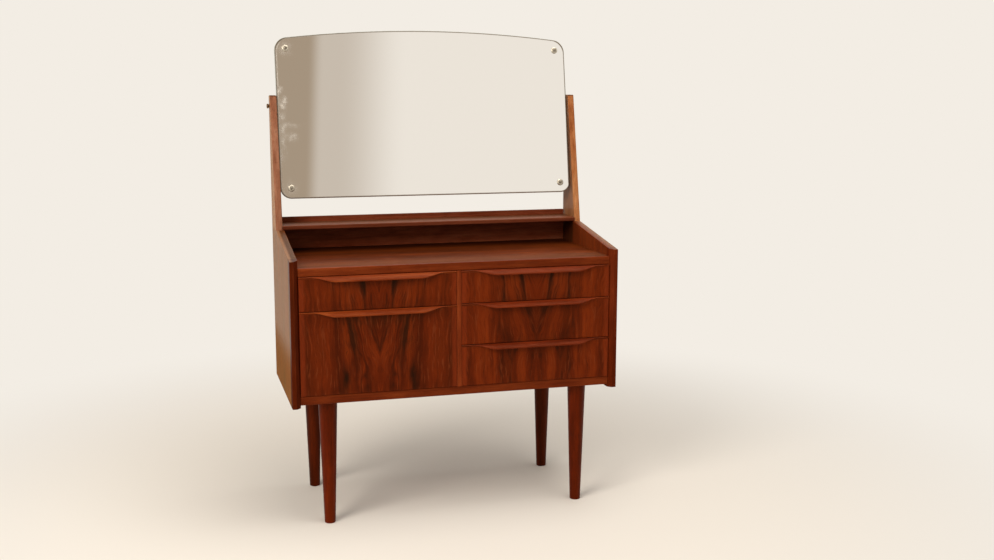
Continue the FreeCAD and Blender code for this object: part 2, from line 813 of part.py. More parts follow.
def make_pivot_bolt(name, hand):
    """A bolt through the post into the mirror's bush, with a turned knob outside."""
    knob_start = f"{hand} * running_slack"
    neck_end = f"{hand} * (running_slack + knob_neck_length)"
    knob_end = f"{hand} * knob_length"
    tip = f"{hand} * -pivot_reach"
    bolt = turned(f"pivot_bolt_{name}", "XZ_Plane", "H_Axis", [
        (tip, "0"),
        (tip, "pivot_diameter / 2"),
        (knob_start, "pivot_diameter / 2"),
        (knob_start, "knob_neck_diameter / 2"),
        (neck_end, "knob_neck_diameter / 2"),
        (neck_end, "knob_diameter / 2"),
        (knob_end, "knob_diameter / 2"),
        (knob_end, "0"),
    ])
    rim = value("knob_diameter")
    end_x = value(knob_end)
    round_edges(bolt, "knob_round", lambda edge: near(edge.BoundBox.ZLength, rim)
                and near(edge.BoundBox.XMin, end_x) and near(edge.BoundBox.XMax, end_x))
    place(bolt, f"{hand} * overall_width / 2", "pivot_y", "pivot_z")
    return bolt


nodes = []
for name, hand in HANDS.items():
    nodes += [make_side(name, hand), make_side_lipping(name, hand), make_post(name, hand)]
nodes += [
    make_post_dowels(),
    block("top_board", SYMMETRIC_X, ("board_front_y + board_lipping", "back_front_y"),
          ("case_ceiling", "top_surface")),
    make_lipping("top_lipping", ("case_ceiling", "top_surface")),
    make_bottom_board(),
    make_lipping("bottom_lipping", ("leg_height", "case_floor")),
    block("centre_divider", ("-divider_thickness / 2", "divider_thickness / 2"),
          ("front_y + front_setback", "back_front_y"), ("case_floor", "case_ceiling")),
    block("back_panel", SYMMETRIC_X, ("back_front_y", "rear_y - back_inset"), ("leg_height", "top_surface")),
    make_back_screws(),
    make_back_rail(),
    make_shelf(),
]
for name, (x, y) in LEG_SPOTS.items():
    nodes.append(make_leg(name, x, y))
nodes.append(make_leg_bolts())
for name, (hand, low, high) in DRAWERS.items():
    nodes += [make_drawer_front(name, hand, low, high), make_pull(name, hand, high)]
    nodes += make_drawer_box(name, hand, low, high)
    nodes.append(make_runners(name, hand, low, high))
nodes += [
    make_glass(),
    make_backing(),
    make_rosettes(),
    make_mirror_screws(),
    make_pivot_rings("pivot_bushes", "bush_diameter", "pivot_hole", "bush_length", "backing_half"),
    make_pivot_rings("pivot_spacers", "spacer_diameter", "pivot_hole", "spacer_length",
                     "post_inner_x - running_slack"),
]
for name, hand in HANDS.items():
    nodes.append(make_pivot_bolt(name, hand))
doc.recompute()

for item in doc.Objects:
    if "Invalid" in item.State or "Error" in item.State:
        raise RuntimeError(f"{item.Label} failed: {item.State}")
for node in nodes:
    if node.Shape.isNull() or not node.Shape.isValid() or not node.Shape.Solids:
        raise RuntimeError(f"{node.Label} has no valid solid")

os.makedirs("parts", exist_ok=True)
for node in nodes:
    node.Shape.exportStep(f"parts/{node.Label}.step")
print(len(nodes), "nodes,", sum(len(node.Shape.Solids) for node in nodes), "solids")
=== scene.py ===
# %% [markdown]
# # A rosewood dressing table with a tilting mirror
#
# The real object is a small dressing table from the middle of the last century: a veneered case with five
# drawers on turned legs, and a frameless mirror that swings between two posts. The construction comes
# ready made from the CAD frame, piece by piece and at its real size. This lesson gives every piece its
# finish, and carves the few pieces that a saw alone can't make.

# %% Load the frame
import json
import math

import bmesh
import bpy
from mathutils import Matrix, Vector


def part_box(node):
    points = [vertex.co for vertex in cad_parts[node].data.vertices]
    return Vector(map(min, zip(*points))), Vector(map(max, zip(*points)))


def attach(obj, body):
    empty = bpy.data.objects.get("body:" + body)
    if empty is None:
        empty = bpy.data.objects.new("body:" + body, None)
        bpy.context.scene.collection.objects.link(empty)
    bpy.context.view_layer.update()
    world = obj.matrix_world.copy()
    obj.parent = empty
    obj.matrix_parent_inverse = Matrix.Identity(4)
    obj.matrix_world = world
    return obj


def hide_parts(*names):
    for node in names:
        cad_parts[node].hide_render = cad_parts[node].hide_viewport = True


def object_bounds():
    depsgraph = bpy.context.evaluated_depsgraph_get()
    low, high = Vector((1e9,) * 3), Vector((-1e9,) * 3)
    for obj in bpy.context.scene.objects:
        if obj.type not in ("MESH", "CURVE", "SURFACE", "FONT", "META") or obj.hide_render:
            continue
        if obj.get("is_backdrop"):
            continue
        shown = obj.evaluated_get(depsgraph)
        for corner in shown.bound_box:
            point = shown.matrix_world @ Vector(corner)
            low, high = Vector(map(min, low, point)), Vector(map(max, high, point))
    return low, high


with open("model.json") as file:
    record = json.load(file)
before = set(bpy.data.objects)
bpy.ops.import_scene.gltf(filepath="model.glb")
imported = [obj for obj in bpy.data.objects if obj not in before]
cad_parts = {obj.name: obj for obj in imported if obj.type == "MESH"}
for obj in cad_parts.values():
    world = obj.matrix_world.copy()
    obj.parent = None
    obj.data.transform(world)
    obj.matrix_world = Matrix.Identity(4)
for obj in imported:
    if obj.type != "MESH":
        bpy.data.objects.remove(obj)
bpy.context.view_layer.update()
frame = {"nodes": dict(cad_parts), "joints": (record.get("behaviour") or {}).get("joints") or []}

nodes = frame["nodes"]

# %% [markdown]
# ## Sums on sockets
#
# A finish is mostly arithmetic: how far a point lies from the middle of a leaf of veneer, how dark a streak
# is there. Such sums could be wired by hand, node by node, but then nobody can read them. Instead one small
# class wraps an output socket, and its operators add Math nodes, so a sum in a node tree reads like a sum
# in Python. The same class serves the Geometry Nodes trees further on.

# %% A socket that takes part in sums
class Wire:
    """An output socket. Sums on wires add Math nodes to the tree that the socket belongs to."""

    def __init__(self, socket):
        self.socket = socket

    def node(self, kind, settings, sockets, output=0):
        """Adds a node of any kind: its settings first, then the values or wires of its sockets."""
        made = self.socket.id_data.nodes.new(kind)
        for name, setting in settings.items():
            if name == "stops":
                fill_ramp(made.color_ramp, setting)
            else:
                setattr(made, name, setting)
        feed(made, sockets)
        return Wire(made.outputs[output])

    def maths(self, operation, *values):
        return self.node("ShaderNodeMath", {"operation": operation}, dict(enumerate(values)))

    def __add__(self, other):
        return self.maths("ADD", self, other)

    def __radd__(self, other):
        return self.maths("ADD", other, self)

    def __sub__(self, other):
        return self.maths("SUBTRACT", self, other)

    def __rsub__(self, other):
        return self.maths("SUBTRACT", other, self)

    def __mul__(self, other):
        return self.maths("MULTIPLY", self, other)

    def __rmul__(self, other):
        return self.maths("MULTIPLY", other, self)

    def __truediv__(self, other):
        return self.maths("DIVIDE", self, other)

    def __rtruediv__(self, other):
        return self.maths("DIVIDE", other, self)

    def __neg__(self):
        return self.maths("MULTIPLY", self, -1.0)

    def __abs__(self):
        return self.maths("ABSOLUTE", self)


def feed(node, sockets):
    """Gives each named socket of a node its value or its wire."""
    for name, source in sockets.items():
        if isinstance(source, Wire):
            node.id_data.links.new(source.socket, node.inputs[name])
        else:
            node.inputs[name].default_value = source


def fill_ramp(ramp, stops):
    """Puts (position, colour) stops on a colour ramp, which starts with two of its own."""
    for number, (position, colour) in enumerate(stops):
        stop = ramp.elements[number] if number < 2 else ramp.elements.new(position)
        stop.position = position
        stop.color = colour


print("a wire has the operators", [name for name in vars(Wire) if name.endswith("__")])

# %% [markdown]
# ## Colours, clouds and steps
#
# Colours are written as they look on a screen, from 0 to 255, because that is how one reads them off a
# sample of wood; the shader wants linear light, so one function converts them. The other helpers are the
# few patterns that every finish here is made of: a cloud of noise that can be stretched along the grain,
# a soft step that turns a cloud into patches, a soft stripe, and a mix of two colours.

# %% Helpers that every finish uses
def seen(red, green, blue):
    """A colour as it looks on a screen (0 to 255), turned into linear light."""
    def linear(level):
        level /= 255
        return level / 12.92 if level <= 0.04045 else ((level + 0.055) / 1.055) ** 2.4
    return (linear(red), linear(green), linear(blue), 1.0)


def cloud(place, stretch, shift=(0, 0, 0), detail=2.0, distortion=0.0):
    """Noise from 0 to 1, with stretch waves to the metre along each axis."""
    spot = place.node("ShaderNodeMapping", {}, {"Vector": place, "Location": shift, "Scale": stretch})
    sockets = {"Vector": spot, "Scale": 1.0, "Detail": detail, "Distortion": distortion}
    return spot.node("ShaderNodeTexNoise", {"noise_dimensions": "3D"}, sockets)


def step(wire, low, high):
    """0 below low, 1 above high and smooth between."""
    sockets = {"Value": wire, "From Min": low, "From Max": high}
    return wire.node("ShaderNodeMapRange", {"interpolation_type": "SMOOTHSTEP"}, sockets)


def stripe(wire, middle, width):
    """1 at middle, with soft sides that have fallen to a third at width."""
    off = (wire - middle) / width
    return wire.maths("EXPONENT", -(off * off))


def ramp(wire, stops):
    return wire.node("ShaderNodeValToRGB", {"stops": stops}, {"Fac": wire})


def mixed(factor, first, second):
    """The first colour where factor is 0, the second where it is 1."""
    return factor.node("ShaderNodeMix", {"data_type": "RGBA"}, {0: factor, 6: first, 7: second}, output=2)


def parts_of(place):
    """The x, y and z of a vector, as three wires."""
    split = place.node("ShaderNodeSeparateXYZ", {}, {"Vector": place})
    return [Wire(socket) for socket in split.socket.node.outputs]


def joined(x, y, z):
    """A vector of three parts, wires or plain numbers."""
    wire = next(part for part in (x, y, z) if isinstance(part, Wire))
    return wire.node("ShaderNodeCombineXYZ", {}, {"X": x, "Y": y, "Z": z})


def bump(height, depth, strength=1.0):
    """A normal that follows a height of 0 to 1, depth metres deep."""
    return height.node("ShaderNodeBump", {}, {"Height": height, "Distance": depth, "Strength": strength})


def new_material(name):
    """A material, its shader and the Object coordinates of what it is put on."""
    material = bpy.data.materials.new(name)
    material.use_nodes = True
    tree = material.node_tree
    place = Wire(tree.nodes.new("ShaderNodeTexCoord").outputs["Object"])
    return material, tree.nodes["Principled BSDF"], place


def finish(name, fixed, paint):
    """A material: fixed values on its shader, and what paint(place) gives for each socket that it names."""
    material, shader, place = new_material(name)
    feed(shader, {**fixed, **paint(place)})
    print("finish", name, "with", len(material.node_tree.nodes), "nodes")
    return material


# %% [markdown]
# ## Rosewood
#
# Rosewood is a dark red-brown wood with near-black streaks, fine lines and long open pores. It was finished
# with a thin lacquer that has yellowed: seen straight on it hardly shines, and at a low angle it turns light
# and warm. A wood could be drawn with rings about a tree's heart, but on narrow pieces only the streaks along
# the grain show. So each layer here is a cloud stretched along the grain: slow shifts of tone, bands, short
# mottled streaks, dark lines and pores. The pores also lie a little below the surface, as the bump says.

# %% The wood's layers
ALONG_X, ALONG_Y, ALONG_Z = range(3)


def stretched(axis, across, lengthwise):
    """Waves to the metre across the grain, and along it on the given axis."""
    return [lengthwise if number == axis else across for number in range(3)]


def grain_layers(place, axis, shift):
    """Clouds stretched along the grain, from slow shifts of tone down to the pores."""
    return {
        "slow": cloud(place, stretched(axis, 12, 1.1), shift, distortion=0.6),
        "bands": cloud(place, stretched(axis, 70, 3.5), shift, detail=3.0, distortion=0.8),
        "mottle": cloud(place, stretched(axis, 55, 16), shift, detail=3.0),
        "lines": cloud(place, stretched(axis, 340, 9), shift),
        "pores": cloud(place, stretched(axis, 1900, 42), shift, detail=1.0),
    }


def wood_tone(layers, tones):
    """The colour of the wood's streaks, from deep to warm."""
    tone = 0.36 * layers["slow"] + 0.3 * layers["bands"] + 0.2 * layers["mottle"] + 0.14 * layers["lines"]
    return ramp(tone, [(0.37, tones["deep"]), (0.45, tones["dark"]),
                       (0.53, tones["body"]), (0.63, tones["warm"])])


# %% [markdown]
# Where hands and cloths rub, along every edge, the dark stain goes first and the bare wood shows lighter. A
# Bevel node finds the edges: it returns the normal of the piece as if its edges were rounded, so wherever
# that differs from the true normal there is an edge. A cloud breaks the line up, as nobody rubs evenly.

# %% Pores, lines and rubbed edges
BLACK_STREAK = seen(34, 11, 4)
RUBBED = seen(146, 74, 34)
RUB_WIDTH = 0.002
PORE_DEPTH, PORE_RELIEF = 0.0002, 0.5
PORE_STRENGTH, PORE_SINK, PORE_DULLING = 0.5, 0.7, 0.2
LINE_STRENGTH, LINE_SINK = 0.3, 0.3
BAND_DULLING = 0.14

# Levels of the clouds, or of the turn at an edge, over which each mark sets in
PORES, LINES = (0.58, 0.7), (0.56, 0.72)
EDGES, RUBBED_PATCHES = (0.02, 0.3), (0.35, 0.65)


def rubbed_edges(place, patches):
    """1 along the edges of a piece, in patches; 0 on its faces."""
    rounded = place.node("ShaderNodeBevel", {"samples": 4}, {"Radius": RUB_WIDTH})
    true = place.node("ShaderNodeNewGeometry", {}, {}, "True Normal")
    alike = true.node("ShaderNodeVectorMath", {"operation": "DOT_PRODUCT"}, {0: rounded, 1: true}, "Value")
    return step(1 - alike, *EDGES) * step(patches, *RUBBED_PATCHES)


def wood_surface(place, layers, colour, dullness, wear=0.35, pore_colour=BLACK_STREAK):
    """Pores, lines and rubbed edges on a colour, with the roughness and the bump that belong to them."""
    pores = step(layers["pores"], *PORES)
    lines = step(layers["lines"], *LINES)
    colour = mixed(LINE_STRENGTH * lines, colour, pore_colour)
    if wear:
        colour = mixed(wear * rubbed_edges(place, layers["mottle"]), colour, RUBBED)
    return {
        "Base Color": mixed(PORE_STRENGTH * pores, colour, pore_colour),
        "Roughness": dullness + BAND_DULLING * (layers["bands"] - 0.5) + PORE_DULLING * pores,
        "Normal": bump(1 - PORE_SINK * pores - LINE_SINK * lines, PORE_DEPTH, PORE_RELIEF),
    }


# %% Lacquers and straight-grained wood
YELLOWED = (1.0, 0.74, 0.42, 1.0)
AMBER = (1.0, 0.57, 0.18, 1.0)
SATIN = {"Specular IOR Level": 0.08, "Specular Tint": YELLOWED}
OILED = {**SATIN, "Specular IOR Level": 0.05}
WAXED = {**SATIN, "Sheen Weight": 0.15, "Sheen Roughness": 0.3, "Sheen Tint": AMBER}
POLISHED = {**WAXED, "Sheen Weight": 0.46}
USUAL_DULLNESS = 0.36


def tones_of(deep, dark, body, warm):
    """The four tones of a wood, each as it looks on a screen."""
    return {"deep": seen(*deep), "dark": seen(*dark), "body": seen(*body), "warm": seen(*warm)}


ROSEWOOD = tones_of((58, 15, 2), (76, 21, 3), (94, 28, 4), (122, 44, 10))


def wood(name, axis, shift, tones=ROSEWOOD, lacquer=SATIN, dullness=USUAL_DULLNESS, ageing_and_painted_light=None, **surface):
    """Wood whose fibres run along an axis; shift picks another part of the log.

    Where ageing or painted light and shade change a piece's colour, a function given here says what differs.
    """
    def paint(place):
        layers = grain_layers(place, axis, shift)
        looks = {"colour": wood_tone(layers, tones), "dullness": dullness, **surface}
        if ageing_and_painted_light:
            looks.update(ageing_and_painted_light(place, layers, looks["colour"]))
        return wood_surface(place, layers, **looks)
    return finish(name, lacquer, paint)


# %% [markdown]
# ## Book-matched fronts
#
# The fronts of each column were cut from one pair of neighbouring leaves of veneer, opened like a book, so
# the figure runs on from drawer to drawer and is mirrored about the middle of the column. Dark flames lean
# in towards that middle. The same wood layers can draw it if they are given bent coordinates: the distance
# from the middle instead of x, less a lean that grows with height and dies away towards the sides. A few
# flames and patches are then placed one by one where they belong, thin dark veins run between them, and the
# ends of each front are edged with redder wood.

# %% The veneer of the two columns
SWING, RIPPLE = 0.02, 0.024


def book_matched(place, middle, apex, lean, reach):
    """Coordinates on a pair of leaves: x turns into the distance from the middle, bent along the flames."""
    x, y, z = parts_of(place)
    across = abs(x - middle)
    fading = place.maths("EXPONENT", across / -reach)
    rise = place.maths("MAXIMUM", z - apex, 0.0)
    swing = cloud(place, (9, 9, 5)) - 0.5
    ripple = cloud(joined(across, y, z), (34, 34, 14)) - 0.5
    bent = across - lean * rise * fading + SWING * swing + RIPPLE * ripple
    return across, z, joined(bent, y, z), bent


def patch(across, z, spot):
    """A soft patch; spot is its distance, height, width, length and strength."""
    distance, height, width, length, strength = spot
    return strength * stripe(across, distance, width) * stripe(z, height, length)


BROWN_HEART = seen(56, 22, 6)
PALE_LINE = seen(136, 66, 34)
FRONT_END = seen(126, 46, 18)
FRONT_DULLNESS, FRONT_WEAR = 0.4, 0.2
FLAME_FADE = 0.03

# A flame has a pale rim, so many of its widths away from its middle
RIM_PLACE, RIM_WIDTH, RIM_STRENGTH = 1.4, 0.0016, 0.35
VEIN_LEVEL, VEIN_WIDTH, VEIN_STRENGTH, VEINS_FADE = 0.5, 0.035, 0.5, (0.09, 0.14)
END_BAND, END_STRENGTH = (0.008, 0.016), 0.5

# Levels of the clouds over which the figure breaks up, dark patches fray and pale lines show
BROKEN, RAGGED, PALE_LINES = (0.36, 0.62), (0.34, 0.6), (0.58, 0.72)
PALE_STRENGTH = 0.3


def front_veneer(name, front, bend, flames, dark_spots, brown_spots, light_spots, shift):
    """Veneer for the column of fronts that starts with this one.

    A flame is its distance from the middle, its width, the height of its foot and its strength.
    """
    low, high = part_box(front)

    def paint(place):
        across, z, leaf, bent = book_matched(place, (low.x + high.x) / 2, **bend)
        layers = grain_layers(leaf, ALONG_Z, shift)
        colour = wood_tone(layers, ROSEWOOD)
        broken = step(cloud(leaf, (60, 60, 13), shift, detail=3.0), *BROKEN)
        for spot in brown_spots:
            colour = mixed(patch(across, z, spot) * broken, colour, BROWN_HEART)
        for spot in light_spots:
            colour = mixed(patch(across, z, spot) * layers["bands"], colour, ROSEWOOD["warm"])
        pale_lines = step(cloud(leaf, (260, 260, 22), shift), *PALE_LINES)
        colour = mixed(PALE_STRENGTH * pale_lines, colour, PALE_LINE)
        for distance, width, foot, strength in flames:
            shown = strength * step(z, foot - FLAME_FADE, foot + FLAME_FADE) * broken
            colour = mixed(shown * stripe(bent, distance, width), colour, BLACK_STREAK)
            rim = stripe(bent, distance - RIM_PLACE * width, RIM_WIDTH)
            colour = mixed(RIM_STRENGTH * shown * rim, colour, PALE_LINE)
        ragged = step(cloud(leaf, (150, 150, 26), shift, detail=3.0), *RAGGED)
        for spot in dark_spots:
            shown = patch(across, z, spot) * (0.4 + 0.3 * ragged + 0.3 * broken)
            colour = mixed(shown, colour, BLACK_STREAK)
        veins = stripe(cloud(leaf, (34, 34, 5), shift, distortion=0.6), VEIN_LEVEL, VEIN_WIDTH)
        veins = VEIN_STRENGTH * veins * broken * (1 - step(across, *VEINS_FADE))
        colour = mixed(veins, colour, BLACK_STREAK)
        to_end = (high.x - low.x) / 2 - across
        colour = mixed(END_STRENGTH * (1 - step(to_end, *END_BAND)), colour, FRONT_END)
        return wood_surface(place, layers, colour, FRONT_DULLNESS, FRONT_WEAR)
    return finish(name, SATIN, paint)


left_leaves = front_veneer(
    "left_front_veneer", "drawer_left_top_front", {"apex": 0.41, "lean": 0.30, "reach": 0.09},
    flames=[(0.002, 0.008, 0.53, 0.9), (0.024, 0.005, 0.40, 0.35), (0.060, 0.007, 0.34, 0.35)],
    dark_spots=[(0.084, 0.380, 0.013, 0.040, 1.0), (0.040, 0.615, 0.014, 0.016, 0.7),
                (0.030, 0.356, 0.008, 0.012, 0.7), (0.085, 0.352, 0.008, 0.026, 0.8)],
    brown_spots=[(0.066, 0.490, 0.022, 0.050, 0.8), (0.040, 0.525, 0.050, 0.024, 0.7)],
    light_spots=[(0.068, 0.598, 0.018, 0.034, 1.0), (0.150, 0.440, 0.030, 0.100, 0.9),
                 (0.010, 0.440, 0.012, 0.050, 0.6), (0.110, 0.600, 0.090, 0.045, 1.0)],
    shift=(3.1, 0.4, 1.7))
right_leaves = front_veneer(
    "right_front_veneer", "drawer_right_top_front", {"apex": 0.465, "lean": 0.42, "reach": 0.09},
    flames=[(0.002, 0.008, 0.47, 0.9), (0.022, 0.004, 0.47, 0.35), (0.070, 0.005, 0.55, 0.9)],
    dark_spots=[(0.098, 0.500, 0.004, 0.030, 0.6), (0.010, 0.400, 0.008, 0.040, 0.35),
                (0.062, 0.390, 0.008, 0.040, 0.15), (0.040, 0.605, 0.007, 0.026, 0.8),
                (0.017, 0.522, 0.006, 0.017, 0.9), (0.007, 0.482, 0.006, 0.017, 0.8)],
    brown_spots=[(0.020, 0.500, 0.024, 0.040, 0.4), (0.080, 0.390, 0.012, 0.050, 0.2)],
    light_spots=[(0.061, 0.600, 0.015, 0.030, 1.0), (0.058, 0.590, 0.014, 0.030, 1.0),
                 (0.150, 0.480, 0.030, 0.120, 0.9),
                 (0.042, 0.400, 0.012, 0.050, 0.6), (0.090, 0.600, 0.090, 0.045, 1.0),
                 (0.070, 0.505, 0.040, 0.030, 0.7), (0.072, 0.395, 0.012, 0.040, 0.7)],
    shift=(7.9, 2.2, 5.3))

# %% [markdown]
# ## The other rosewood pieces
#
# Each board has its grain along its length, as a joiner would lay it, and comes from its own part of the
# log. Pulls, posts, divider and front edges are warmer than the veneer, the left lipping darker, and the
# rear legs darker as painted shade; the left post is paler and greyer than the right as painted reflection.
# Sides, shelf, rail and posts were polished more than the rest, and the top has been wiped dull.
# Most pieces take the wood as it is; only the direction, tones, lacquer and part of the log differ.
#
# Sides, top and posts change over their surfaces, so they have functions of their own. The sloping top edge
# of the left side is darkened as painted shade but for a pale rim of painted highlight, that of the right
# side is paled as painted highlight, and painted shade darkens the sides under the shelf. The front of the
# top is lighter as painted sheen, its back darker under the shelf as painted shade. The posts are dark on
# their end grain, and painted shade darkens them inside.

# %% Tones of the rosewood pieces
PULL_WOOD = tones_of((92, 30, 8), (112, 40, 12), (130, 52, 18), (152, 72, 30))
RED_PULL_WOOD = tones_of((90, 28, 8), (109, 37, 12), (126, 46, 18), (146, 63, 28))
# Painted reflection: the left post's tones are paler and greyer than the right's, for the light its outer
# face reflects
LEFT_POST_PAINTED_REFLECTION = tones_of((112, 64, 44), (130, 80, 58), (148, 96, 72), (170, 120, 94))
RIGHT_POST_WOOD = tones_of((138, 74, 38), (162, 97, 55), (184, 121, 76), (206, 146, 100))
LIP_WOOD = tones_of((58, 16, 2), (69, 19, 2), (80, 24, 4), (97, 33, 8))
RED_LIP_WOOD = tones_of((76, 20, 2), (90, 27, 4), (102, 34, 9), (120, 46, 16))
TOP_WOOD = tones_of((58, 21, 2), (76, 28, 3), (94, 36, 5), (122, 52, 12))
SHELF_WOOD = tones_of((76, 28, 12), (92, 38, 20), (108, 50, 30), (126, 66, 42))
RAIL_WOOD = tones_of((102, 39, 17), (123, 52, 28), (144, 68, 41), (166, 89, 58))
LEG_WOOD = tones_of((70, 17, 2), (84, 22, 3), (98, 28, 4), (118, 40, 9))
# Painted shade: the rear legs take darker tones, for the shade they stand in
REAR_LEG_PAINTED_SHADE = tones_of((54, 12, 1), (66, 17, 2), (78, 22, 3), (96, 31, 6))
EDGE_WOOD = tones_of((82, 26, 6), (98, 34, 10), (114, 44, 15), (134, 58, 24))
DIVIDER_WOOD = tones_of((88, 28, 7), (104, 37, 12), (120, 47, 18), (140, 62, 27))

# %% Sides, top and posts
# Painted highlight on the slanted edges and their rims, and painted shade on the left side's slanted edge
PAINTED_HIGHLIGHT = seen(152, 112, 84)
PAINTED_SLOPE_SHADE = seen(54, 24, 8)
# Painted shade inside the posts, and the dark of their end grain
SHADE_AND_END_GRAIN = seen(52, 34, 22)
# Painted sheen along the front of the top
PAINTED_SHEEN = seen(150, 96, 66)
# Painted shade: under the shelf on the sides, and at the back of the top
PAINTED_SHADE = seen(26, 9, 3)

# Distances and heights in metres, and shares of the top's depth, over which each mark of age, painted light
# and painted shade sets in
SKIN = (0.0002, 0.0008)
FOOT_HEIGHTS = (0.37, 0.48)
HIGHLIGHT_RIM_FROM, HIGHLIGHT_RIM_FULL = 0.010, 0.004
SHADE_BEFORE, SHADE_BEHIND = 0.002, 0.008
SHEEN_ENDS, SHADE_GROWS = (0.08, 0.36), (0.2, 0.75)
END_FROM, END_FULL = 0.004, 0.002
SHADE_BELOW, SHADE_ABOVE = 0.02, 0.03

# How far up a face of a side has to look to count as its slanted edge, which takes painted light and shade
LOOKS_UP = (0.3, 0.6)

# Roughness and wear of the wood, and the strength of each mark of age, painted light and painted shade
SIDE_DULLNESS, FOOT_DULLING, SIDE_WEAR_AND_HIGHLIGHT, TOP_DULLNESS = 0.345, 0.5, 0.6, 0.56
SHELF_SHADOW_STRENGTH, SHEEN_STRENGTH, BACK_SHADE = 0.75, 0.24, 0.52
INNER_SHADE, MIRROR_SHADE, END_GRAIN_DARKNESS = 0.4, 0.35, 0.7

side_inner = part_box("side_right")[0].x
side_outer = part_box("side_right")[1].x
post_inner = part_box("post_right")[0].x
post_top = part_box("post_right")[1].z
mirror_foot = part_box("mirror_glass")[0].z
shelf_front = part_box("shelf")[0].y
print("sides from", round(side_inner, 4), "to", round(side_outer, 4), "posts from", round(post_inner, 4))


def at_inner_face(x, inner):
    """1 on the inner faces of a left and a right piece, 0 on the rest of them."""
    return 1 - step(abs(x) - inner, *SKIN)


def side_wood(name, shift, tones, lacquer, slope_light_and_shade, strength, spread):
    """A side: painted light and shade on its sloping top edge, painted shade under the shelf, and a dull
    foot.
    """
    def ageing_and_painted_light(place, layers, colour):
        _, _, up = parts_of(place.node("ShaderNodeNewGeometry", {}, {}, "True Normal"))
        x, y, z = parts_of(place)
        outward = step(abs(x), side_inner, side_inner + spread)
        # Painted light on the slanted edge: paled as painted highlight on the right, darkened as painted
        # shade on the left
        painted_slope = strength * step(up, *LOOKS_UP) * outward * (0.7 + 0.3 * layers["mottle"])
        edge = mixed(step(abs(x), side_outer - HIGHLIGHT_RIM_FROM, side_outer - HIGHLIGHT_RIM_FULL), slope_light_and_shade, PAINTED_HIGHLIGHT)
        # Painted shade: the side's inner face darkens under the shelf, where the shelf's shadow falls
        shelf_shadow = step(y, shelf_front - SHADE_BEFORE, shelf_front + SHADE_BEHIND)
        shade = SHELF_SHADOW_STRENGTH * at_inner_face(x, side_inner) * shelf_shadow
        return {
            "colour": mixed(shade, mixed(painted_slope, colour, edge), PAINTED_SHADE),
            "dullness": SIDE_DULLNESS + FOOT_DULLING * (1 - step(z, *FOOT_HEIGHTS)),
        }
    # The sides' rubbed edges are strengthened: partly real wear, partly painted highlight along the edges
    return wood(name, ALONG_Z, shift, tones, lacquer, ageing_and_painted_light=ageing_and_painted_light, wear=SIDE_WEAR_AND_HIGHLIGHT)


def top_wood(name, shift):
    """The top's wood: painted sheen towards the front, painted shade at the back under the shelf."""
    low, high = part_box("top_board")

    def ageing_and_painted_light(place, layers, colour):
        _, y, _ = parts_of(place)
        inward = (y - low.y) / (high.y - low.y)
        # Painted sheen towards the front edge, and painted shade at the back where the shelf's shadow falls
        colour = mixed(SHEEN_STRENGTH * (1 - step(inward, *SHEEN_ENDS)), colour, PAINTED_SHEEN)
        return {"colour": mixed(BACK_SHADE * step(inward, *SHADE_GROWS), colour, PAINTED_SHADE)}
    return wood(name, ALONG_X, shift, TOP_WOOD, OILED, TOP_DULLNESS, ageing_and_painted_light)


def post_wood(name, shift, tones, lacquer):
    """A post's wood; its end grain is dark, and painted shade darkens its inner face, most beside the mirror.
    """
    def ageing_and_painted_light(place, layers, colour):
        x, _, z = parts_of(place)
        # Painted shade on the post's inner face, deeper beside the mirror; the end grain's darkness is the
        # wood's own
        behind = step(z, mirror_foot - SHADE_BELOW, mirror_foot + SHADE_ABOVE)
        end = step(z, post_top - END_FROM, post_top - END_FULL)
        inside = at_inner_face(x, post_inner) * (INNER_SHADE + MIRROR_SHADE * behind)
        dark = x.maths("MAXIMUM", inside, END_GRAIN_DARKNESS * end)
        return {"colour": mixed(dark, colour, SHADE_AND_END_GRAIN)}
    return wood(name, ALONG_Z, shift, tones, lacquer, ageing_and_painted_light=ageing_and_painted_light)


# %% Rosewood for each piece
WORN_DULLNESS = 0.52
finish_of = {
    "side_left": side_wood("left_side_veneer", (11.0, 4.0, 2.0), ROSEWOOD, POLISHED, PAINTED_SLOPE_SHADE, 0.9, 0.004),
    "side_right": side_wood("right_side_veneer", (17.0, 9.0, 6.0), EDGE_WOOD, WAXED, PAINTED_HIGHLIGHT, 0.75, 0.019),
    "side_lipping_left": side_wood(
        "left_lipping_rosewood", (21.0, 1.0, 3.0), LIP_WOOD, SATIN, PAINTED_SLOPE_SHADE, 0.6, 0.004),
    "side_lipping_right": side_wood(
        "right_lipping_rosewood", (23.0, 7.0, 5.0), RED_LIP_WOOD, SATIN, PAINTED_HIGHLIGHT, 0.6, 0.019),
    "top_board": top_wood("top_veneer", (2.0, 13.0, 8.0)),
    "bottom_board": wood("bottom_veneer", ALONG_X, (5.0, 19.0, 1.0)),
    "top_lipping": wood("top_lipping_rosewood", ALONG_X, (4.0, 29.0, 3.0), EDGE_WOOD, SATIN, WORN_DULLNESS),
    "bottom_lipping": wood("bottom_lipping_rosewood", ALONG_X, (9.0, 31.0, 7.0), EDGE_WOOD),
    "centre_divider": wood("divider_rosewood", ALONG_Z, (33.0, 2.0, 9.0), DIVIDER_WOOD),
    "back_rail": wood("rail_veneer", ALONG_X, (6.0, 37.0, 4.0), RAIL_WOOD, WAXED),
    "shelf": wood("shelf_veneer", ALONG_X, (8.0, 41.0, 2.0), SHELF_WOOD, WAXED),
    "post_left": post_wood("left_post_rosewood", (43.0, 3.0, 6.0), LEFT_POST_PAINTED_REFLECTION, POLISHED),
    "post_right": post_wood("right_post_rosewood", (47.0, 5.0, 1.0), RIGHT_POST_WOOD, WAXED),
}
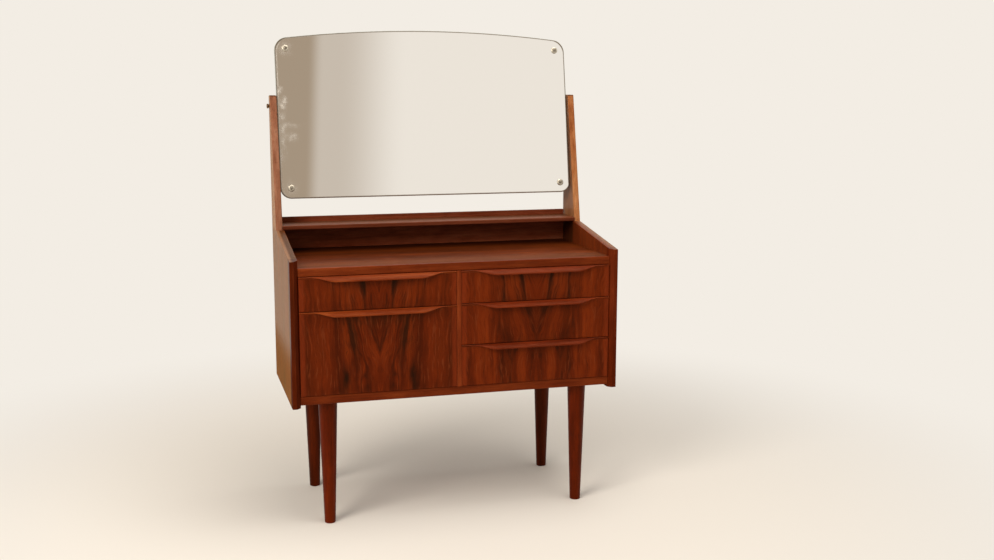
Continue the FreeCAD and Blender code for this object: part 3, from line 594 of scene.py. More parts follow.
for number, leg in enumerate(("front_left", "front_right", "rear_left", "rear_right")):
    # The rear legs are darker as painted shade
    tones = LEG_WOOD if leg.startswith("front") else REAR_LEG_PAINTED_SHADE
    finish_of["leg_" + leg] = wood(f"leg_rosewood_{leg}", ALONG_Z, (51.0 + 3 * number, 2.0, 7.0), tones)

# %% [markdown]
# The pulls are cut from the solid. Only the lip that stands out of the front has the warm tone of wood that
# hands have polished; towards the ends, where the strip lies level with the front, it is as dark as the
# veneer. How far a point stands out of the front's face decides between the two.

# %% Rosewood for the pulls
PULL_DULLNESS, LEAST_WARMTH = 0.32, 0.25
LIP_BLEND = (0.0002, 0.0012)
front_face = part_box("drawer_left_top_front")[0].y


def pull_wood(name, shift, tones):
    """A pull's wood, warm on the lip and dark where the strip lies level with the front."""
    def ageing_and_painted_light(place, layers, colour):
        _, y, _ = parts_of(place)
        lip = step(front_face - y, *LIP_BLEND)
        return {"colour": mixed(LEAST_WARMTH + (1 - LEAST_WARMTH) * lip, colour, wood_tone(layers, tones))}
    return wood(name, ALONG_X, shift, dullness=PULL_DULLNESS, ageing_and_painted_light=ageing_and_painted_light)


pull_rosewood = {
    "left": pull_wood("left_pull_rosewood", (6.0, 59.0, 9.0), PULL_WOOD),
    "right": pull_wood("right_pull_rosewood", (8.0, 97.0, 3.0), RED_PULL_WOOD),
}

# %% [markdown]
# ## Inside the drawers and behind the case
#
# What doesn't show when the table is shut was made of plainer wood: pale beech for the drawer boxes and
# runners, thin plywood for the drawer bottoms and, stained, for the back and behind the mirror. They carry
# no lacquer to speak of, so they are dull. The layers that drew the rosewood serve again with other tones.

# %% Pale woods and plywood
BEECH = tones_of((168, 124, 80), (184, 142, 96), (200, 160, 114), (214, 178, 134))
PLYWOOD = tones_of((150, 104, 62), (172, 126, 80), (188, 144, 96), (202, 162, 116))
STAINED = tones_of((74, 40, 20), (92, 52, 27), (112, 66, 36), (132, 82, 48))
BARE = {
    "lacquer": {"Specular IOR Level": 0.25}, "dullness": 0.55, "wear": 0.0, "pore_colour": seen(132, 88, 50),
}
BARE_STAINED = {**BARE, "pore_colour": seen(48, 24, 12)}

drawer_side_beech = wood("drawer_side_beech", ALONG_Y, (1.0, 3.0, 61.0), BEECH, **BARE)
drawer_back_beech = wood("drawer_back_beech", ALONG_X, (3.0, 5.0, 67.0), BEECH, **BARE)
drawer_bottom_plywood = wood("drawer_bottom_plywood", ALONG_X, (7.0, 71.0, 2.0), PLYWOOD, **BARE)
runner_beech = wood("runner_beech", ALONG_Y, (9.0, 2.0, 73.0), BEECH, **BARE)
dowel_beech = wood("dowel_beech", ALONG_Z, (79.0, 4.0, 3.0), BEECH, **BARE)
back_plywood = wood("back_plywood", ALONG_X, (5.0, 83.0, 1.0), STAINED, **BARE_STAINED)
mirror_board = wood("mirror_board_plywood", ALONG_X, (2.0, 89.0, 7.0), STAINED, **BARE_STAINED)

# %% [markdown]
# ## Metals
#
# Three metals hold the table together. The rosettes and screws on the mirror are chromed, the pivots are
# brass that has gone brown, and the bolts and back screws are plain steel. A metal is known by what it
# reflects, so its detail is in the roughness: fine marks from handling, and patches of tarnish.

# %% Chrome, steel and brass
MARK_DEPTH, MARK_RELIEF, MARK_DULLING = 0.00005, 0.3, 0.12
TARNISH_FROM, TARNISH_FULL, TARNISH_DULLING = 0.62, 0.72, 0.2


def metal(name, bright, dull, smooth, tarnish):
    """A metal whose colour goes from bright to dull in patches; smooth is its roughness where it is clean."""
    def paint(place):
        patches = step(cloud(place, (160, 160, 160), detail=4.0), TARNISH_FROM - tarnish, TARNISH_FULL)
        marks = cloud(place, (900, 2600, 900))
        return {
            "Base Color": mixed(patches, bright, dull),
            "Roughness": smooth + TARNISH_DULLING * patches + MARK_DULLING * marks,
            "Normal": bump(marks, MARK_DEPTH, MARK_RELIEF),
        }
    return finish(name, {"Metallic": 1.0}, paint)


fixing_chrome = metal("fixing_chrome", seen(186, 178, 162), seen(150, 140, 124), 0.4, 0.04)
worn_chrome = metal("worn_chrome", seen(140, 131, 118), seen(96, 86, 74), 0.45, 0.14)
fixing_steel = metal("fixing_steel", seen(170, 168, 164), seen(120, 112, 100), 0.3, 0.12)
pivot_brass = metal("pivot_brass", seen(138, 112, 82), seen(84, 64, 48), 0.3, 0.14)

# %% [markdown]
# ## Dressing the CAD pieces
#
# Most pieces have the right shape already, so they keep their CAD mesh and only take a finish. A table of
# plain rules says which finish goes on which node.

# %% Put the finishes on
DRAWERS = ("left_top", "left_deep", "right_top", "right_middle", "right_bottom")
leaves = {"left": left_leaves, "right": right_leaves}
for drawer in DRAWERS:
    column = drawer.split("_")[0]
    pieces = {
        "front": leaves[column], "pull": pull_rosewood[column], "sides": drawer_side_beech,
        "back": drawer_back_beech, "bottom": drawer_bottom_plywood, "runners": runner_beech,
    }
    finish_of.update({f"drawer_{drawer}_{piece}": material for piece, material in pieces.items()})
finish_of.update({
    "back_panel": back_plywood, "mirror_backing": mirror_board, "post_dowels": dowel_beech,
    "mirror_rosettes": fixing_chrome, "mirror_screws": worn_chrome,
    "leg_bolts": fixing_steel, "back_panel_screws": fixing_steel,
    "pivot_bushes": pivot_brass, "pivot_spacers": pivot_brass,
    "pivot_bolt_left": pivot_brass, "pivot_bolt_right": pivot_brass,
})
for node, material in finish_of.items():
    materials = nodes[node].data.materials
    materials.clear()
    materials.append(material)
print("bare nodes:", sorted(set(nodes) - set(finish_of)))

# %% [markdown]
# ## Carved pulls
#
# Each drawer is opened by a strip of solid rosewood along its top edge. In the middle it sweeps out into a
# lip that is hollow underneath, for the fingertips, and towards the ends it thins to a plain strip. It could
# be drawn as a box and sculpted, but its shape follows a rule: one section, which leans out by a share that
# eases from almost nothing at the ends to full in the middle. So Geometry Nodes sweeps the section along the
# strip and then moves every point by that rule.

# %% Helpers for Geometry Nodes trees
SOCKET_KINDS = {type(None): "Object", tuple: "Vector", float: "Float", int: "Int"}
ROUND_STEPS = 3


def added(name, data):
    """A new object in the scene."""
    piece = bpy.data.objects.new(name, data)
    bpy.context.scene.collection.objects.link(piece)
    return piece


def new_tree(name, inputs):
    """An empty tree with the named inputs, of which None is an object; returns it and their wires."""
    tree = bpy.data.node_groups.new(name, "GeometryNodeTree")
    for label, value in inputs.items():
        kind = "NodeSocket" + SOCKET_KINDS[type(value)]
        socket = tree.interface.new_socket(label, in_out="INPUT", socket_type=kind)
        if value is not None:
            socket.default_value = value
    tree.interface.new_socket("Geometry", in_out="OUTPUT", socket_type="NodeSocketGeometry")
    entry = tree.nodes.new("NodeGroupInput")
    return tree, {label: Wire(entry.outputs[label]) for label in inputs}


def end_tree(tree, geometry, material):
    """Ends a tree in plain geometry with one material."""
    whole = geometry.node("GeometryNodeRealizeInstances", {}, {"Geometry": geometry})
    painted = whole.node("GeometryNodeSetMaterial", {}, {"Geometry": whole, "Material": material})
    feed(tree.nodes.new("NodeGroupOutput"), {"Geometry": painted})
    return tree


def shape_of(chosen):
    """The geometry of the object that an input names."""
    return chosen.node("GeometryNodeObjectInfo", {}, {"Object": chosen}, "Geometry")


def marked(curve, name):
    """Stores every point's place under a name, so that it can still be read after a sweep."""
    place = curve.node("GeometryNodeInputPosition", {}, {})
    return curve.node("GeometryNodeStoreNamedAttribute", {"data_type": "FLOAT_VECTOR"}, {
        "Geometry": curve, "Name": name, "Value": place})


def swept(path, wire, caps):
    """The tree's section, rounded and swept along a path: the mesh, and each point's place on both."""
    section = shape_of(wire["Section"])
    section = section.node("GeometryNodeFilletCurve", {"mode": "POLY"}, {
        "Curve": section, "Radius": wire["Round"], "Limit Radius": True, "Count": ROUND_STEPS})
    mesh = path.node("GeometryNodeCurveToMesh", {}, {
        "Curve": marked(path, "path"), "Profile Curve": marked(section, "section"), "Fill Caps": caps})
    places = [mesh.node("GeometryNodeInputNamedAttribute", {"data_type": "FLOAT_VECTOR"}, {"Name": name})
              for name in ("path", "section")]
    return mesh, parts_of(places[0]), parts_of(places[1])


def grown(name, tree, values):
    """Runs a tree with the given values of its inputs and keeps the result as a plain mesh object."""
    seed_mesh = bpy.data.meshes.new(name)
    piece = added(name, seed_mesh)
    modifier = piece.modifiers.new("shape", "NODES")
    modifier.node_group = tree
    for item in tree.interface.items_tree:
        if item.name in values:
            modifier[item.identifier] = values[item.name]
    bpy.context.view_layer.update()
    result = bpy.data.meshes.new_from_object(piece.evaluated_get(bpy.context.evaluated_depsgraph_get()))
    piece.modifiers.clear()
    piece.data = result
    bpy.data.meshes.remove(seed_mesh)
    result.name = name
    return piece


# %% Helpers for the meshes
TOUCHING = 1e-6


def merged(mesh):
    """A copy of a mesh to work on, in which points that touch are one."""
    work = bmesh.new()
    work.from_mesh(mesh)
    bmesh.ops.remove_doubles(work, verts=work.verts, dist=TOUCHING)
    return work


def put_back(work, mesh):
    """Writes a worked copy into a mesh."""
    work.to_mesh(mesh)
    work.free()


def tidy_mesh(piece, sharp_angle):
    """Merges doubles, turns all faces outwards and shades smooth up to an angle."""
    work = merged(piece.data)
    bmesh.ops.recalc_face_normals(work, faces=work.faces)
    put_back(work, piece.data)
    piece.data.polygons.foreach_set("use_smooth", [True] * len(piece.data.polygons))
    piece.data.set_sharp_from_angle(angle=math.radians(sharp_angle))
    print(piece.name, len(piece.data.vertices), "points", len(piece.data.polygons), "faces")


def section_curve(name, corners, closed=True):
    """A poly curve through (first, second) corners, which a tree takes as a section."""
    curve = bpy.data.curves.new(name, "CURVE")
    curve.dimensions = "3D"
    spline = curve.splines.new("POLY")
    spline.points.add(len(corners) - 1)
    for point, (first, second) in zip(spline.points, corners):
        point.co = (first, second, 0, 1)
    spline.use_cyclic_u = closed
    return added(name, curve)


# %% The tree that carves a pull
FACE_GAP = 0.00001


def pull_tree(material):
    """Sweeps the section along X and lets it lean out less and less towards the ends."""
    tree, wire = new_tree("carved pull", {
        "Section": None, "Middle": (0, 0, 0), "Length": 0.39, "Lip Half": 0.12, "Taper": 0.048,
        "End Share": 0.17, "Round": 0.0015, "Stations": 121,
    })
    half = wire["Length"] / 2
    line = half.node("GeometryNodeCurvePrimitiveLine", {}, {
        "Start": joined(-half, 0.0, 0.0), "End": joined(half, 0.0, 0.0)})
    line = line.node("GeometryNodeResampleCurve", {}, {"Curve": line, "Count": wire["Stations"]})
    strip, (along, _, _), (proud, height, _) = swept(line, wire, caps=True)
    swell = 1 - step((abs(along) - wire["Lip Half"]) / wire["Taper"], 0.0, 1.0)
    share = wire["End Share"] + (1 - wire["End Share"]) * swell
    outside = proud.maths("GREATER_THAN", proud, FACE_GAP)
    dwindling = 1 + outside * (share - 1)
    shaped = joined(along, -proud * dwindling, height * dwindling)
    placed = shaped.node("ShaderNodeVectorMath", {"operation": "ADD"}, {0: shaped, 1: wire["Middle"]})
    carved = strip.node("GeometryNodeSetPosition", {}, {"Geometry": strip, "Position": placed})
    return end_tree(tree, carved, material)


# %% Carve the five pulls
# The lip's edge, top, taper and plain end in metres, its share at the ends, and where its back bends
LIP_EDGE = 0.003
LIP_TOP = 0.0015
LIP_TAPER = 0.064
LIP_END = 0.028
LIP_LEAST = 0.12
BEND_OUT, BEND_DOWN = 0.55, 0.33
HOLLOW_STEPS = 6
CARVED_SHARP = 40

front_low, front_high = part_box("drawer_left_top_front")
pull_low, pull_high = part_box("drawer_left_top_pull")
front_depth = pull_high.y - front_low.y
lip_projection = front_low.y - pull_low.y
lip_drop = pull_high.z - pull_low.z
strip_height = pull_high.z - front_high.z
pull_length = pull_high.x - pull_low.x


def hollow(steps):
    """The hollow under the lip: a quarter of an ellipse from the lip's edge to the drawer's face."""
    wide = lip_projection - LIP_EDGE
    tall = lip_drop - strip_height
    turns = [math.pi / 2 * number / steps for number in range(steps + 1)]
    return [(wide * math.cos(turn), tall * math.sin(turn) - lip_drop) for turn in turns]


pull_section = section_curve("pull_section", [
    (-front_depth, 0), (LIP_TOP, 0), (lip_projection * BEND_OUT, -lip_drop * BEND_DOWN),
    (lip_projection, LIP_EDGE - lip_drop), (lip_projection, -lip_drop), *hollow(HOLLOW_STEPS),
    (-front_depth, -strip_height),
])
carving = {column: pull_tree(material) for column, material in pull_rosewood.items()}
for drawer in DRAWERS:
    low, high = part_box(f"drawer_{drawer}_pull")
    pull = grown(f"carved_pull_{drawer}", carving[drawer.split("_")[0]], {
        "Section": pull_section, "Middle": Vector(((low.x + high.x) / 2, low.y + lip_projection, high.z)),
        "Length": pull_length, "Lip Half": pull_length / 2 - LIP_END - LIP_TAPER, "Taper": LIP_TAPER,
        "End Share": LIP_LEAST,
    })
    tidy_mesh(pull, CARVED_SHARP)
    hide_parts(f"drawer_{drawer}_pull")
    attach(pull, f"drawer_{drawer}")
bpy.data.objects.remove(pull_section)

# %% [markdown]
# ## The mirror
#
# The mirror is a sheet of silvered glass with ground edges. Old silver goes first along the edge, where damp
# creeps in behind the glass: a grey line all round, and cloudy blotches down the left; a pale line just
# inside the left edge is a painted glint. A mirror could be modelled as clear glass over a metal sheet, but
# then every ray has to pass through the glass twice to show the same picture. One metal-like face is enough,
# with the distance to the edge worked out in the mirror's own frame, which a Mapping node turns back by the
# tilt. The rim gets a finish of its own.

# %% The mirror's own frame
MIRROR_CROWN = 0.025
TOP_CORNER = 0.035
FOOT_CORNER = 0.029
CORNER_BLEND = 0.05

joint_of = {joint["name"]: joint for joint in frame["joints"]}
pivot = Vector(joint_of["mirror_tilt"]["pos_m"])


def facing(node):
    """The direction of the largest flat face of a node that looks to the front."""
    faces = [face for face in nodes[node].data.polygons if face.normal.y < 0]
    return max(faces, key=lambda face: face.area).normal.copy()


mirror_front = facing("mirror_glass")
tilt = math.atan2(mirror_front.z, -mirror_front.y)
to_mirror = Matrix.Rotation(tilt, 4, "X") @ Matrix.Translation(-pivot)
glass_points = [to_mirror @ vertex.co for vertex in nodes["mirror_glass"].data.vertices]
glass_half = max(point.x for point in glass_points)
glass_face = min(point.y for point in glass_points)
glass_top = max(point.z for point in glass_points)
glass_foot = min(point.z for point in glass_points)
print("the mirror leans back", round(math.degrees(tilt), 2), "degrees, half width", round(glass_half, 4),
      "top", round(glass_top, 4), "foot", round(glass_foot, 4))


def rim_distance(x, z):
    """How far a point of the mirror's plane lies inside its outline."""
    crown_radius = (glass_half ** 2 + MIRROR_CROWN ** 2) / (2 * MIRROR_CROWN)
    top = glass_top - x * x / (2 * crown_radius)
    corner = FOOT_CORNER + (TOP_CORNER - FOOT_CORNER) * step(z, -CORNER_BLEND, CORNER_BLEND)
    beside = abs(x) - (glass_half - corner)
    beyond = abs(z - (top + glass_foot) / 2) - ((top - glass_foot) / 2 - corner)
    wide = x.maths("MAXIMUM", beside, 0.0)
    tall = x.maths("MAXIMUM", beyond, 0.0)
    round_corner = x.maths("SQRT", wide * wide + tall * tall)
    straight = x.maths("MINIMUM", x.maths("MAXIMUM", beside, beyond), 0.0)
    return corner - round_corner - straight


# %% Silvered face, ground rim and painted back
SILVER = seen(247, 245, 242)
CLOUDED_AND_GLINT = seen(206, 196, 178)
DARKENED = seen(112, 98, 80)
LOST_RIM = (0.0018, 0.0043)
GLINT, GLINT_WIDTH, GLINT_FADE = 0.0055, 0.0013, (0.008, 0.02)
BLOTCH_DRIFT = 0.03
BRUSH_DEPTH, BRUSH_RELIEF = 0.0001, 0.4

# Each blotch has a distance from the left edge, a height above the pivot, a width, a length and a strength
BLOTCHES = [
    (0.017, 0.003, 0.007, 0.010, 1.0), (0.009, 0.040, 0.004, 0.008, 0.8),
    (0.011, -0.033, 0.007, 0.007, 0.7), (0.011, -0.063, 0.007, 0.010, 0.7),
    (0.034, -0.056, 0.016, 0.006, 0.25), (0.032, -0.086, 0.012, 0.008, 0.45),
    (0.012, -0.098, 0.004, 0.016, 0.5), (0.012, -0.130, 0.006, 0.014, 0.3),
    (0.029, 0.149, 0.013, 0.013, 0.3), (0.029, -0.218, 0.013, 0.013, 0.3),
]


def silver_paint(place):
    """Silver lost along the rim, clouded in patches down the left, and a painted glint inside the left rim.
    """
    own = place.node("ShaderNodeMapping", {"vector_type": "TEXTURE"},
                     {"Vector": place, "Location": pivot, "Rotation": (-tilt, 0, 0)})
    x, _, z = parts_of(own)
    inside = rim_distance(x, z)
    from_left = x + glass_half
    # Painted glint: a pale line just inside the left rim, drawn in with the clouded silver
    clouding_and_glint = 0.5 * stripe(inside, GLINT, GLINT_WIDTH) * (1 - step(from_left, *GLINT_FADE))
    drift = BLOTCH_DRIFT * (cloud(own, (48, 48, 48), (8, 3, 1)) - 0.5)
    for spot in BLOTCHES:
        clouding_and_glint = clouding_and_glint + patch(from_left + drift, z + drift, spot)
    damp = step(cloud(own, (120, 120, 90), (4, 2, 9), detail=4.0), 0.3, 0.6)
    clouding_and_glint = x.maths("MINIMUM", clouding_and_glint * (0.35 + 0.65 * damp), 1.0)
    lost = 1 - step(inside, *LOST_RIM)
    haze = cloud(own, (7, 7, 7), detail=3.0)
    return {
        "Base Color": mixed(lost, mixed(clouding_and_glint, SILVER, CLOUDED_AND_GLINT), DARKENED),
        "Metallic": 1 - 0.5 * lost - 0.8 * clouding_and_glint * (1 - lost),
        "Roughness": 0.012 + 0.02 * haze + 0.22 * lost + 0.3 * clouding_and_glint,
    }


def rim_paint(place):
    """The ground edge of the glass, grey-green."""
    grind = cloud(place, (700, 700, 700))
    return {
        "Base Color": ramp(grind, [(0.3, seen(66, 76, 68)), (0.7, seen(104, 116, 106))]),
        "Roughness": 0.25 + 0.25 * grind,
    }


def bevel_paint(place):
    """The polished bevel round the face."""
    wear = cloud(place, (120, 120, 120), detail=3.0)
    return {
        "Base Color": ramp(wear, [(0.35, seen(188, 190, 182)), (0.65, seen(214, 214, 206))]),
        "Roughness": 0.08 + 0.12 * wear,
    }


def back_paint(place):
    """Brown paint over the silver, brushed along X."""
    brushed = cloud(place, (18, 300, 300), detail=3.0)
    return {
        "Base Color": ramp(brushed, [(0.35, seen(86, 60, 48)), (0.65, seen(104, 76, 62))]),
        "Roughness": 0.6 + 0.15 * brushed,
        "Normal": bump(brushed, BRUSH_DEPTH, BRUSH_RELIEF),
    }


silvered_face = finish("silvered_face", {}, silver_paint)
ground_rim = finish("ground_rim", {}, rim_paint)
polished_bevel = finish("polished_bevel", {"Metallic": 0.8}, bevel_paint)
mirror_back_paint = finish("mirror_back_paint", {}, back_paint)

# %% The sheet of glass
# How much a face has to look to the front to be silvered face, bevel or rim; the rest is back
LEAST_LOOKS = (0.95, 0.3, -0.95)

glass_sheet = added("silvered_glass", nodes["mirror_glass"].data.copy())
glass_sheet.data.materials.clear()
for material in (silvered_face, polished_bevel, ground_rim, mirror_back_paint):
    glass_sheet.data.materials.append(material)
work = merged(glass_sheet.data)
work.normal_update()
for face in work.faces:
    look = face.normal.dot(mirror_front)
    face.material_index = sum(look <= least for least in LEAST_LOOKS)
    face.smooth = False
put_back(work, glass_sheet.data)
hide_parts("mirror_glass")
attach(glass_sheet, "mirror")
print("glass sheet of", len(glass_sheet.data.polygons), "faces")

# %% [markdown]
# ## Turned fixings
#
# The mirror is held by four dished rosettes with slotted screws, the back panel by ten round-headed screws,
# and the pivots have small milled knobs. All are turned on a lathe, so all come from one tree: a section
# spun about an axis. For a knob the same tree adds the milling, a wave in the radius with so many teeth to
# the turn. A second tree cuts the slot, and a third sets a fixing on each of its spots, with every slot
# turned as chance left it, from a fixed seed.

# %% The lathe
MM = 0.001
TURNED_SHARP = 35


def lathe_tree(material):
    """Spins the section about Z; beyond Teeth From the radius waves, for the milling."""
    tree, wire = new_tree("turned on a lathe", {
        "Section": None, "Steps": 48, "Round": 0.0003, "Teeth": 0.0, "Tooth Depth": 0.0, "Teeth From": 0.0,
    })
    circle = wire["Steps"].node("GeometryNodeCurvePrimitiveCircle", {}, {
        "Resolution": wire["Steps"], "Radius": 1.0})
    spun, (across, sideways, _), (radius, height, _) = swept(circle, wire, caps=False)
    turn = across.maths("ARCTAN2", sideways, across)
    milled = radius.maths("GREATER_THAN", radius, wire["Teeth From"])
    wave = across.maths("COSINE", turn * wire["Teeth"])
    reach = radius - milled * wire["Tooth Depth"] * (0.5 - 0.5 * wave)
    shaped = joined(across * reach, sideways * reach, height)
    turned = spun.node("GeometryNodeSetPosition", {}, {"Geometry": spun, "Position": shaped})
    return end_tree(tree, turned, material)


def turned_piece(name, material, corners, closed, **inputs):
    """A turned piece at the origin, its axis along Z, from (radius, height) corners in millimetres."""
    corners = [(radius * MM, height * MM) for radius, height in corners]
    section = section_curve(name + "_section", corners, closed)
    values = {"Section": section}
    values.update({label.replace("_", " "): value for label, value in inputs.items()})
    piece = grown(name, lathe_tree(material), values)
    tidy_mesh(piece, TURNED_SHARP)
    bpy.data.objects.remove(section)
    return piece


# %% The slot cutter
def slot_tree(material):
    """Takes a box as wide as the slot away from a screw's head."""
    tree, wire = new_tree("slotted head", {
        "Screw": None, "Slot Width": 0.0012, "Slot Floor": 0.0, "Span": 0.02,
    })
    screw = shape_of(wire["Screw"])
    size = joined(wire["Span"], wire["Slot Width"], wire["Span"])
    cutter = size.node("GeometryNodeMeshCube", {}, {"Size": size})
    raised = joined(0.0, 0.0, wire["Slot Floor"] + wire["Span"] / 2)
    cutter = cutter.node("GeometryNodeSetPosition", {}, {"Geometry": cutter, "Offset": raised})
    cut = screw.node("GeometryNodeMeshBoolean", {"operation": "DIFFERENCE"}, {
        "Mesh 1": screw, "Mesh 2": cutter})
    return end_tree(tree, cut, material)


def slotted(name, screw, material, floor, width):
    """A screw with its slot cut; the plain screw is used up."""
    piece = grown(name, slot_tree(material), {"Screw": screw, "Slot Width": width, "Slot Floor": floor})
    tidy_mesh(piece, TURNED_SHARP)
    bpy.data.objects.remove(screw)
    return piece


# %% Setting fixings on their spots
def setting_tree(material):
    """Sets a fixing on each spot, upright on the axis and turned about it by chance."""
    tree, wire = new_tree("fixings on their spots", {
        "Spots": None, "Fixing": None, "Axis": (0, 0, 1), "Seed": 7, "Most Turn": math.pi,
    })
    spots = shape_of(wire["Spots"])
    fixing = shape_of(wire["Fixing"])
    chance = fixing.node("FunctionNodeRandomValue", {"data_type": "FLOAT"}, {
        2: 0.0, 3: wire["Most Turn"], "Seed": wire["Seed"]}, output=1)
    upright = fixing.node("FunctionNodeAlignRotationToVector", {"axis": "Z"}, {"Vector": wire["Axis"]})
    spin = fixing.node("FunctionNodeAxisAngleToRotation", {}, {"Axis": (0, 0, 1), "Angle": chance})
    turn = fixing.node("FunctionNodeRotateRotation", {"rotation_space": "LOCAL"}, {
        "Rotation": upright, "Rotate By": spin})
    placed = fixing.node("GeometryNodeInstanceOnPoints", {}, {
        "Points": spots, "Instance": fixing, "Rotation": turn})
    return end_tree(tree, placed, material)


def set_fixings(name, fixing, material, spots, axis, body, node, most_turn=math.pi):
    """One mesh with a fixing on each spot, on the node's body in the node's place."""
    mesh = bpy.data.meshes.new(name + "_spots")
    mesh.from_pydata(spots, [], [])
    marker = added(name + "_spots", mesh)
    group = grown(name, setting_tree(material), {
        "Spots": marker, "Fixing": fixing, "Axis": axis, "Most Turn": most_turn})
    tidy_mesh(group, TURNED_SHARP)
    for used in (marker, fixing):
        bpy.data.objects.remove(used)
    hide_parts(node)
    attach(group, body)


def solids_of(node):
    """The middle of each separate solid of a node."""
    work = merged(nodes[node].data)
    waiting = set(work.verts)
    middles = []
    while waiting:
        found = {waiting.pop()}
        newest = found
        while newest:
            newest = {edge.other_vert(point) for point in newest for edge in point.link_edges} - found
            found |= newest
        waiting -= found
        places = list(zip(*[point.co for point in found]))
        middles.append(Vector([(min(place) + max(place)) / 2 for place in places]))
    work.free()
    return sorted(middles, key=lambda spot: tuple(round(part, 5) for part in spot))


# %% Rosettes and screws on the mirror
from_mirror = to_mirror.inverted()


def on_glass(spot):
    """The point of the mirror's face in front of a spot."""
    own = to_mirror @ spot
    return from_mirror @ Vector((own.x, glass_face, own.z))


rosette_spots = [on_glass(spot) for spot in solids_of("mirror_rosettes")]
print("rosettes at", [[round(part, 4) for part in spot] for spot in rosette_spots])
rosette = turned_piece("rosette_shape", fixing_chrome, [
    (2.6, 0), (9.0, 0), (9.0, 0.6), (8.3, 1.7), (7.0, 2.6), (5.8, 3.0), (4.6, 3.0), (2.6, 1.0)], closed=True)
set_fixings("chrome_rosettes", rosette, fixing_chrome, rosette_spots, mirror_front, "mirror",
            "mirror_rosettes")
screw = turned_piece("screw_shape", worn_chrome, [
    (0, -15), (2, -15), (2, 1), (4.3, 2.9), (3.4, 3.4), (1.8, 3.75), (0, 3.85)], closed=False)
screw = slotted("slotted_screw_shape", screw, worn_chrome, floor=2.7 * MM, width=1.1 * MM)
set_fixings("slotted_mirror_screws", screw, worn_chrome, rosette_spots, mirror_front, "mirror",
            "mirror_screws")

# %% Screws in the back panel
panel_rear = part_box("back_panel")[1].y
back_spots = [Vector((spot.x, panel_rear, spot.z)) for spot in solids_of("back_panel_screws")]
back_screw = turned_piece("back_screw_shape", fixing_steel, [
    (0, -18), (1.5, -18), (1.5, 0), (3.5, 0), (3.4, 0.6), (2.7, 1.3), (1.5, 1.7), (0, 1.8)], closed=False)
back_screw = slotted("slotted_back_screw_shape", back_screw, fixing_steel, floor=0.9 * MM, width=0.9 * MM)
set_fixings("slotted_back_screws", back_screw, fixing_steel, back_spots, Vector((0, 1, 0)), "carcass",
            "back_panel_screws")

# %% Milled pivot knobs
for hand, side in (("left", -1), ("right", 1)):
    low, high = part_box(f"pivot_bolt_{hand}")
    post_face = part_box(f"post_{hand}")[0 if side < 0 else 1].x
    tip = -abs((high.x if side < 0 else low.x) - post_face) / MM
    knob = turned_piece(f"knob_shape_{hand}", pivot_brass, [
        (0, tip), (2.4, tip), (3, tip + 1), (3, 0.3), (4.25, 0.3), (4.25, 2.1), (5.5, 2.1), (6, 2.5),
        (6, 5.6), (5.4, 6.4), (3.6, 6.9), (0, 7)],
        closed=False, Steps=168, Teeth=28.0, Tooth_Depth=0.35 * MM, Teeth_From=5.7 * MM)
    set_fixings(f"milled_pivot_bolt_{hand}", knob, pivot_brass, [Vector((post_face, pivot.y, pivot.z))],
                Vector((side, 0, 0)), f"pivot_knob_{hand}", f"pivot_bolt_{hand}",
                most_turn=0.0)

# %% [markdown]
# ## Floor, background and light
#
# The table stands on a plain pale floor in soft light that comes mostly from the left and above, as from a
# tall window. A curved backdrop would hide the table from behind, so the floor is one wide sheet that fades,
# a little way from the table, into the colour of the background. A soft beige screen stands out of view in
# front, for the mirror to show: its colour fades into the background at its edges, so no edge shows.

# %% Floor
PALE = seen(243, 237, 228)
FLOOR_HALF = 40.0
FLOOR_DULLNESS, FLOOR_SHINE = 0.7, 0.2
FADE_NEAR, FADE_FAR = 0.6, 2.0


def flat_sheet(name, corners, material):
    """A flat sheet of the stage."""
    mesh = bpy.data.meshes.new(name)
    mesh.from_pydata(corners, [], [range(len(corners))])
    mesh.materials.append(material)
    sheet = added(name, mesh)
    sheet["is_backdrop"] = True
    print("stage has a", name)
    return sheet


def seen_directly(wire):
    """1 for rays from the camera, a mirror or a glass; 0 for light that lights the object."""
    path = wire.socket.id_data.nodes.new("ShaderNodeLightPath")
    rays = [Wire(path.outputs[name]) for name in ("Is Camera Ray", "Is Glossy Ray", "Is Transmission Ray")]
    return rays[0].maths("MINIMUM", rays[0] + rays[1] + rays[2], 1.0)


def stage_finish(name, surface):
    """A material for the stage: surface(place, shader) gives the shader that ends it."""
    material, shader, place = new_material(name)
    feed(material.node_tree.nodes["Material Output"], {"Surface": surface(place, shader)})
    return material


def floor_surface(place, shader):
    """A dull pale floor that turns into the glow of the background further off."""
    feed(shader, {"Base Color": PALE, "Roughness": FLOOR_DULLNESS, "Specular IOR Level": FLOOR_SHINE})
    x, y, _ = parts_of(place)
    far = step(place.maths("SQRT", x * x + y * y), FADE_NEAR, FADE_FAR)
    glow = place.node("ShaderNodeEmission", {}, {"Color": PALE, "Strength": 1.0})
    return place.node("ShaderNodeMixShader", {}, {
        0: far * seen_directly(place), 1: Wire(shader.outputs[0]), 2: glow})


floor_corners = [(FLOOR_HALF * x, FLOOR_HALF * y, 0) for x, y in ((-1, -1), (1, -1), (1, 1), (-1, 1))]
flat_sheet("floor", floor_corners, stage_finish("pale_floor", floor_surface))

# %% Screen for the mirror
BEIGE = seen(170, 153, 133)
SCREEN_Y = -5.0
SCREEN_LEFT, SCREEN_RIGHT = -3.0, 1.4
SCREEN_FOOT, SCREEN_TOP = 0.01, 5.0
LEFT_FADE, FOOT_FADE, TOP_FADE = 1.2, 1.2, 1.4
FADE_LEAN, LEAN_HEIGHT = 0.09, 2.0
FIRST_FADE, FIRST_SHARE = (0.285, 0.395), 0.43
LAST_FADE, LAST_SHARE = (0.5, 1.02), 0.57


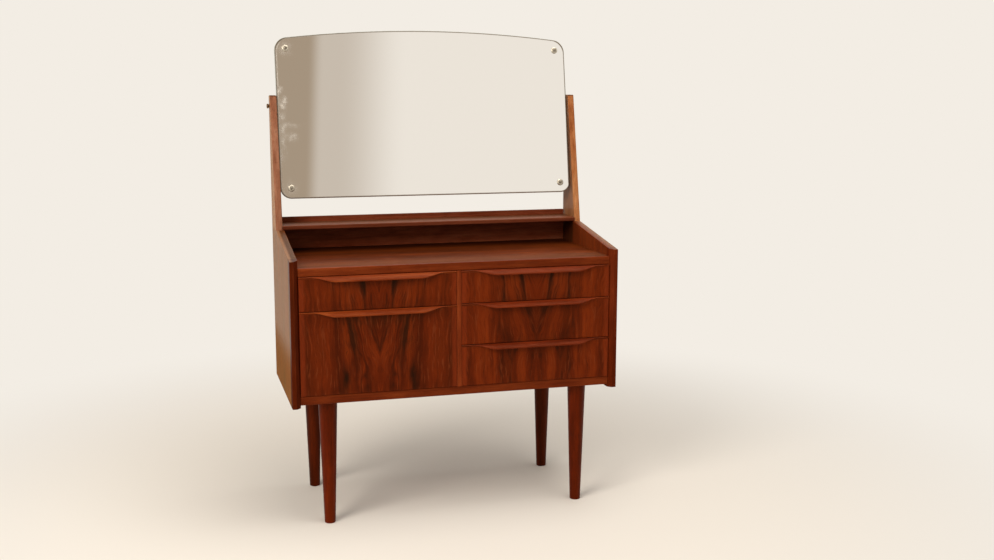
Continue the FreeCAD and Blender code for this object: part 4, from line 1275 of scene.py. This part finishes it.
def screen_surface(place, shader):
    """Beige light that fades into the background on all sides, to the right in two steps."""
    x, _, z = parts_of(place)
    across = x - FADE_LEAN * (z - LEAN_HEIGHT)
    fading = 1 - FIRST_SHARE * step(across, *FIRST_FADE) - LAST_SHARE * step(across, *LAST_FADE)
    beside = step(x, SCREEN_LEFT, SCREEN_LEFT + LEFT_FADE) * fading
    above_foot = step(z, SCREEN_FOOT, SCREEN_FOOT + FOOT_FADE)
    between = above_foot * (1 - step(z, SCREEN_TOP - TOP_FADE, SCREEN_TOP))
    colour = mixed(beside * between, PALE, BEIGE)
    return place.node("ShaderNodeEmission", {}, {"Color": colour, "Strength": 1.0})


screen = flat_sheet("beige_screen", [
    (SCREEN_LEFT, SCREEN_Y, SCREEN_FOOT), (SCREEN_RIGHT, SCREEN_Y, SCREEN_FOOT),
    (SCREEN_RIGHT, SCREEN_Y, SCREEN_TOP), (SCREEN_LEFT, SCREEN_Y, SCREEN_TOP)],
    stage_finish("beige_screen", screen_surface))
screen.visible_camera = False
screen.visible_diffuse = False
screen.visible_shadow = False

# %% Background and lamps
AMBIENT = 0.42
LIT_SPOT = Vector((0, 0, 0.6))

world = bpy.data.worlds.new("studio")
bpy.context.scene.world = world
world.use_nodes = True
background = world.node_tree.nodes["Background"]
shown = seen_directly(Wire(background.outputs[0]))
feed(background, {"Color": PALE, "Strength": AMBIENT + (1 - AMBIENT) * shown})


def soft_lamp(name, spot, size, power, colour):
    """A round lamp that looks at the table."""
    lamp = bpy.data.lights.new(name, "AREA")
    lamp.shape = "DISK"
    lamp.size = size
    lamp.energy = power
    lamp.color = colour[:3]
    holder = added(name, lamp)
    holder.location = spot
    holder.rotation_euler = (LIT_SPOT - Vector(spot)).to_track_quat("-Z", "Y").to_euler()
    print(name, "of", power, "W at", spot)


soft_lamp("window_light", (-3.0, -2.6, 3.0), size=2.4, power=130.0, colour=seen(255, 248, 238))
soft_lamp("overhead_light", (0.6, -0.6, 3.6), size=2.6, power=60.0, colour=seen(255, 250, 244))
bpy.context.scene.view_settings.view_transform = "Standard"

# %% [markdown]
# ## The camera
#
# The camera stands where the photograph was taken from: a little left of the table, 1.1 metres above the
# floor, looking slightly down. Its place and lens were worked out from the corners of the case.

# %% Set up the camera
CAMERA_SPOT = (-0.7288, -3.0920, 1.1116)
CAMERA_TURN = [math.radians(angle) for angle in (80.522, -0.111, -15.924)]
CAMERA_LENS = 43.967
SENSOR_WIDTH = 36.0

camera = added("camera", bpy.data.cameras.new("camera"))
camera.data.sensor_width = SENSOR_WIDTH
camera.data.lens = CAMERA_LENS
camera.location = CAMERA_SPOT
camera.rotation_euler = CAMERA_TURN
bpy.context.scene.camera = camera
print("camera at", CAMERA_SPOT, "with a lens of", CAMERA_LENS, "mm")

# %% [markdown]
# ## The dressed table's box
#
# The box that the dressed table fills is worked out from everything that renders, the stage left out.

# %% Work out the dressed table's box
low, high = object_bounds()
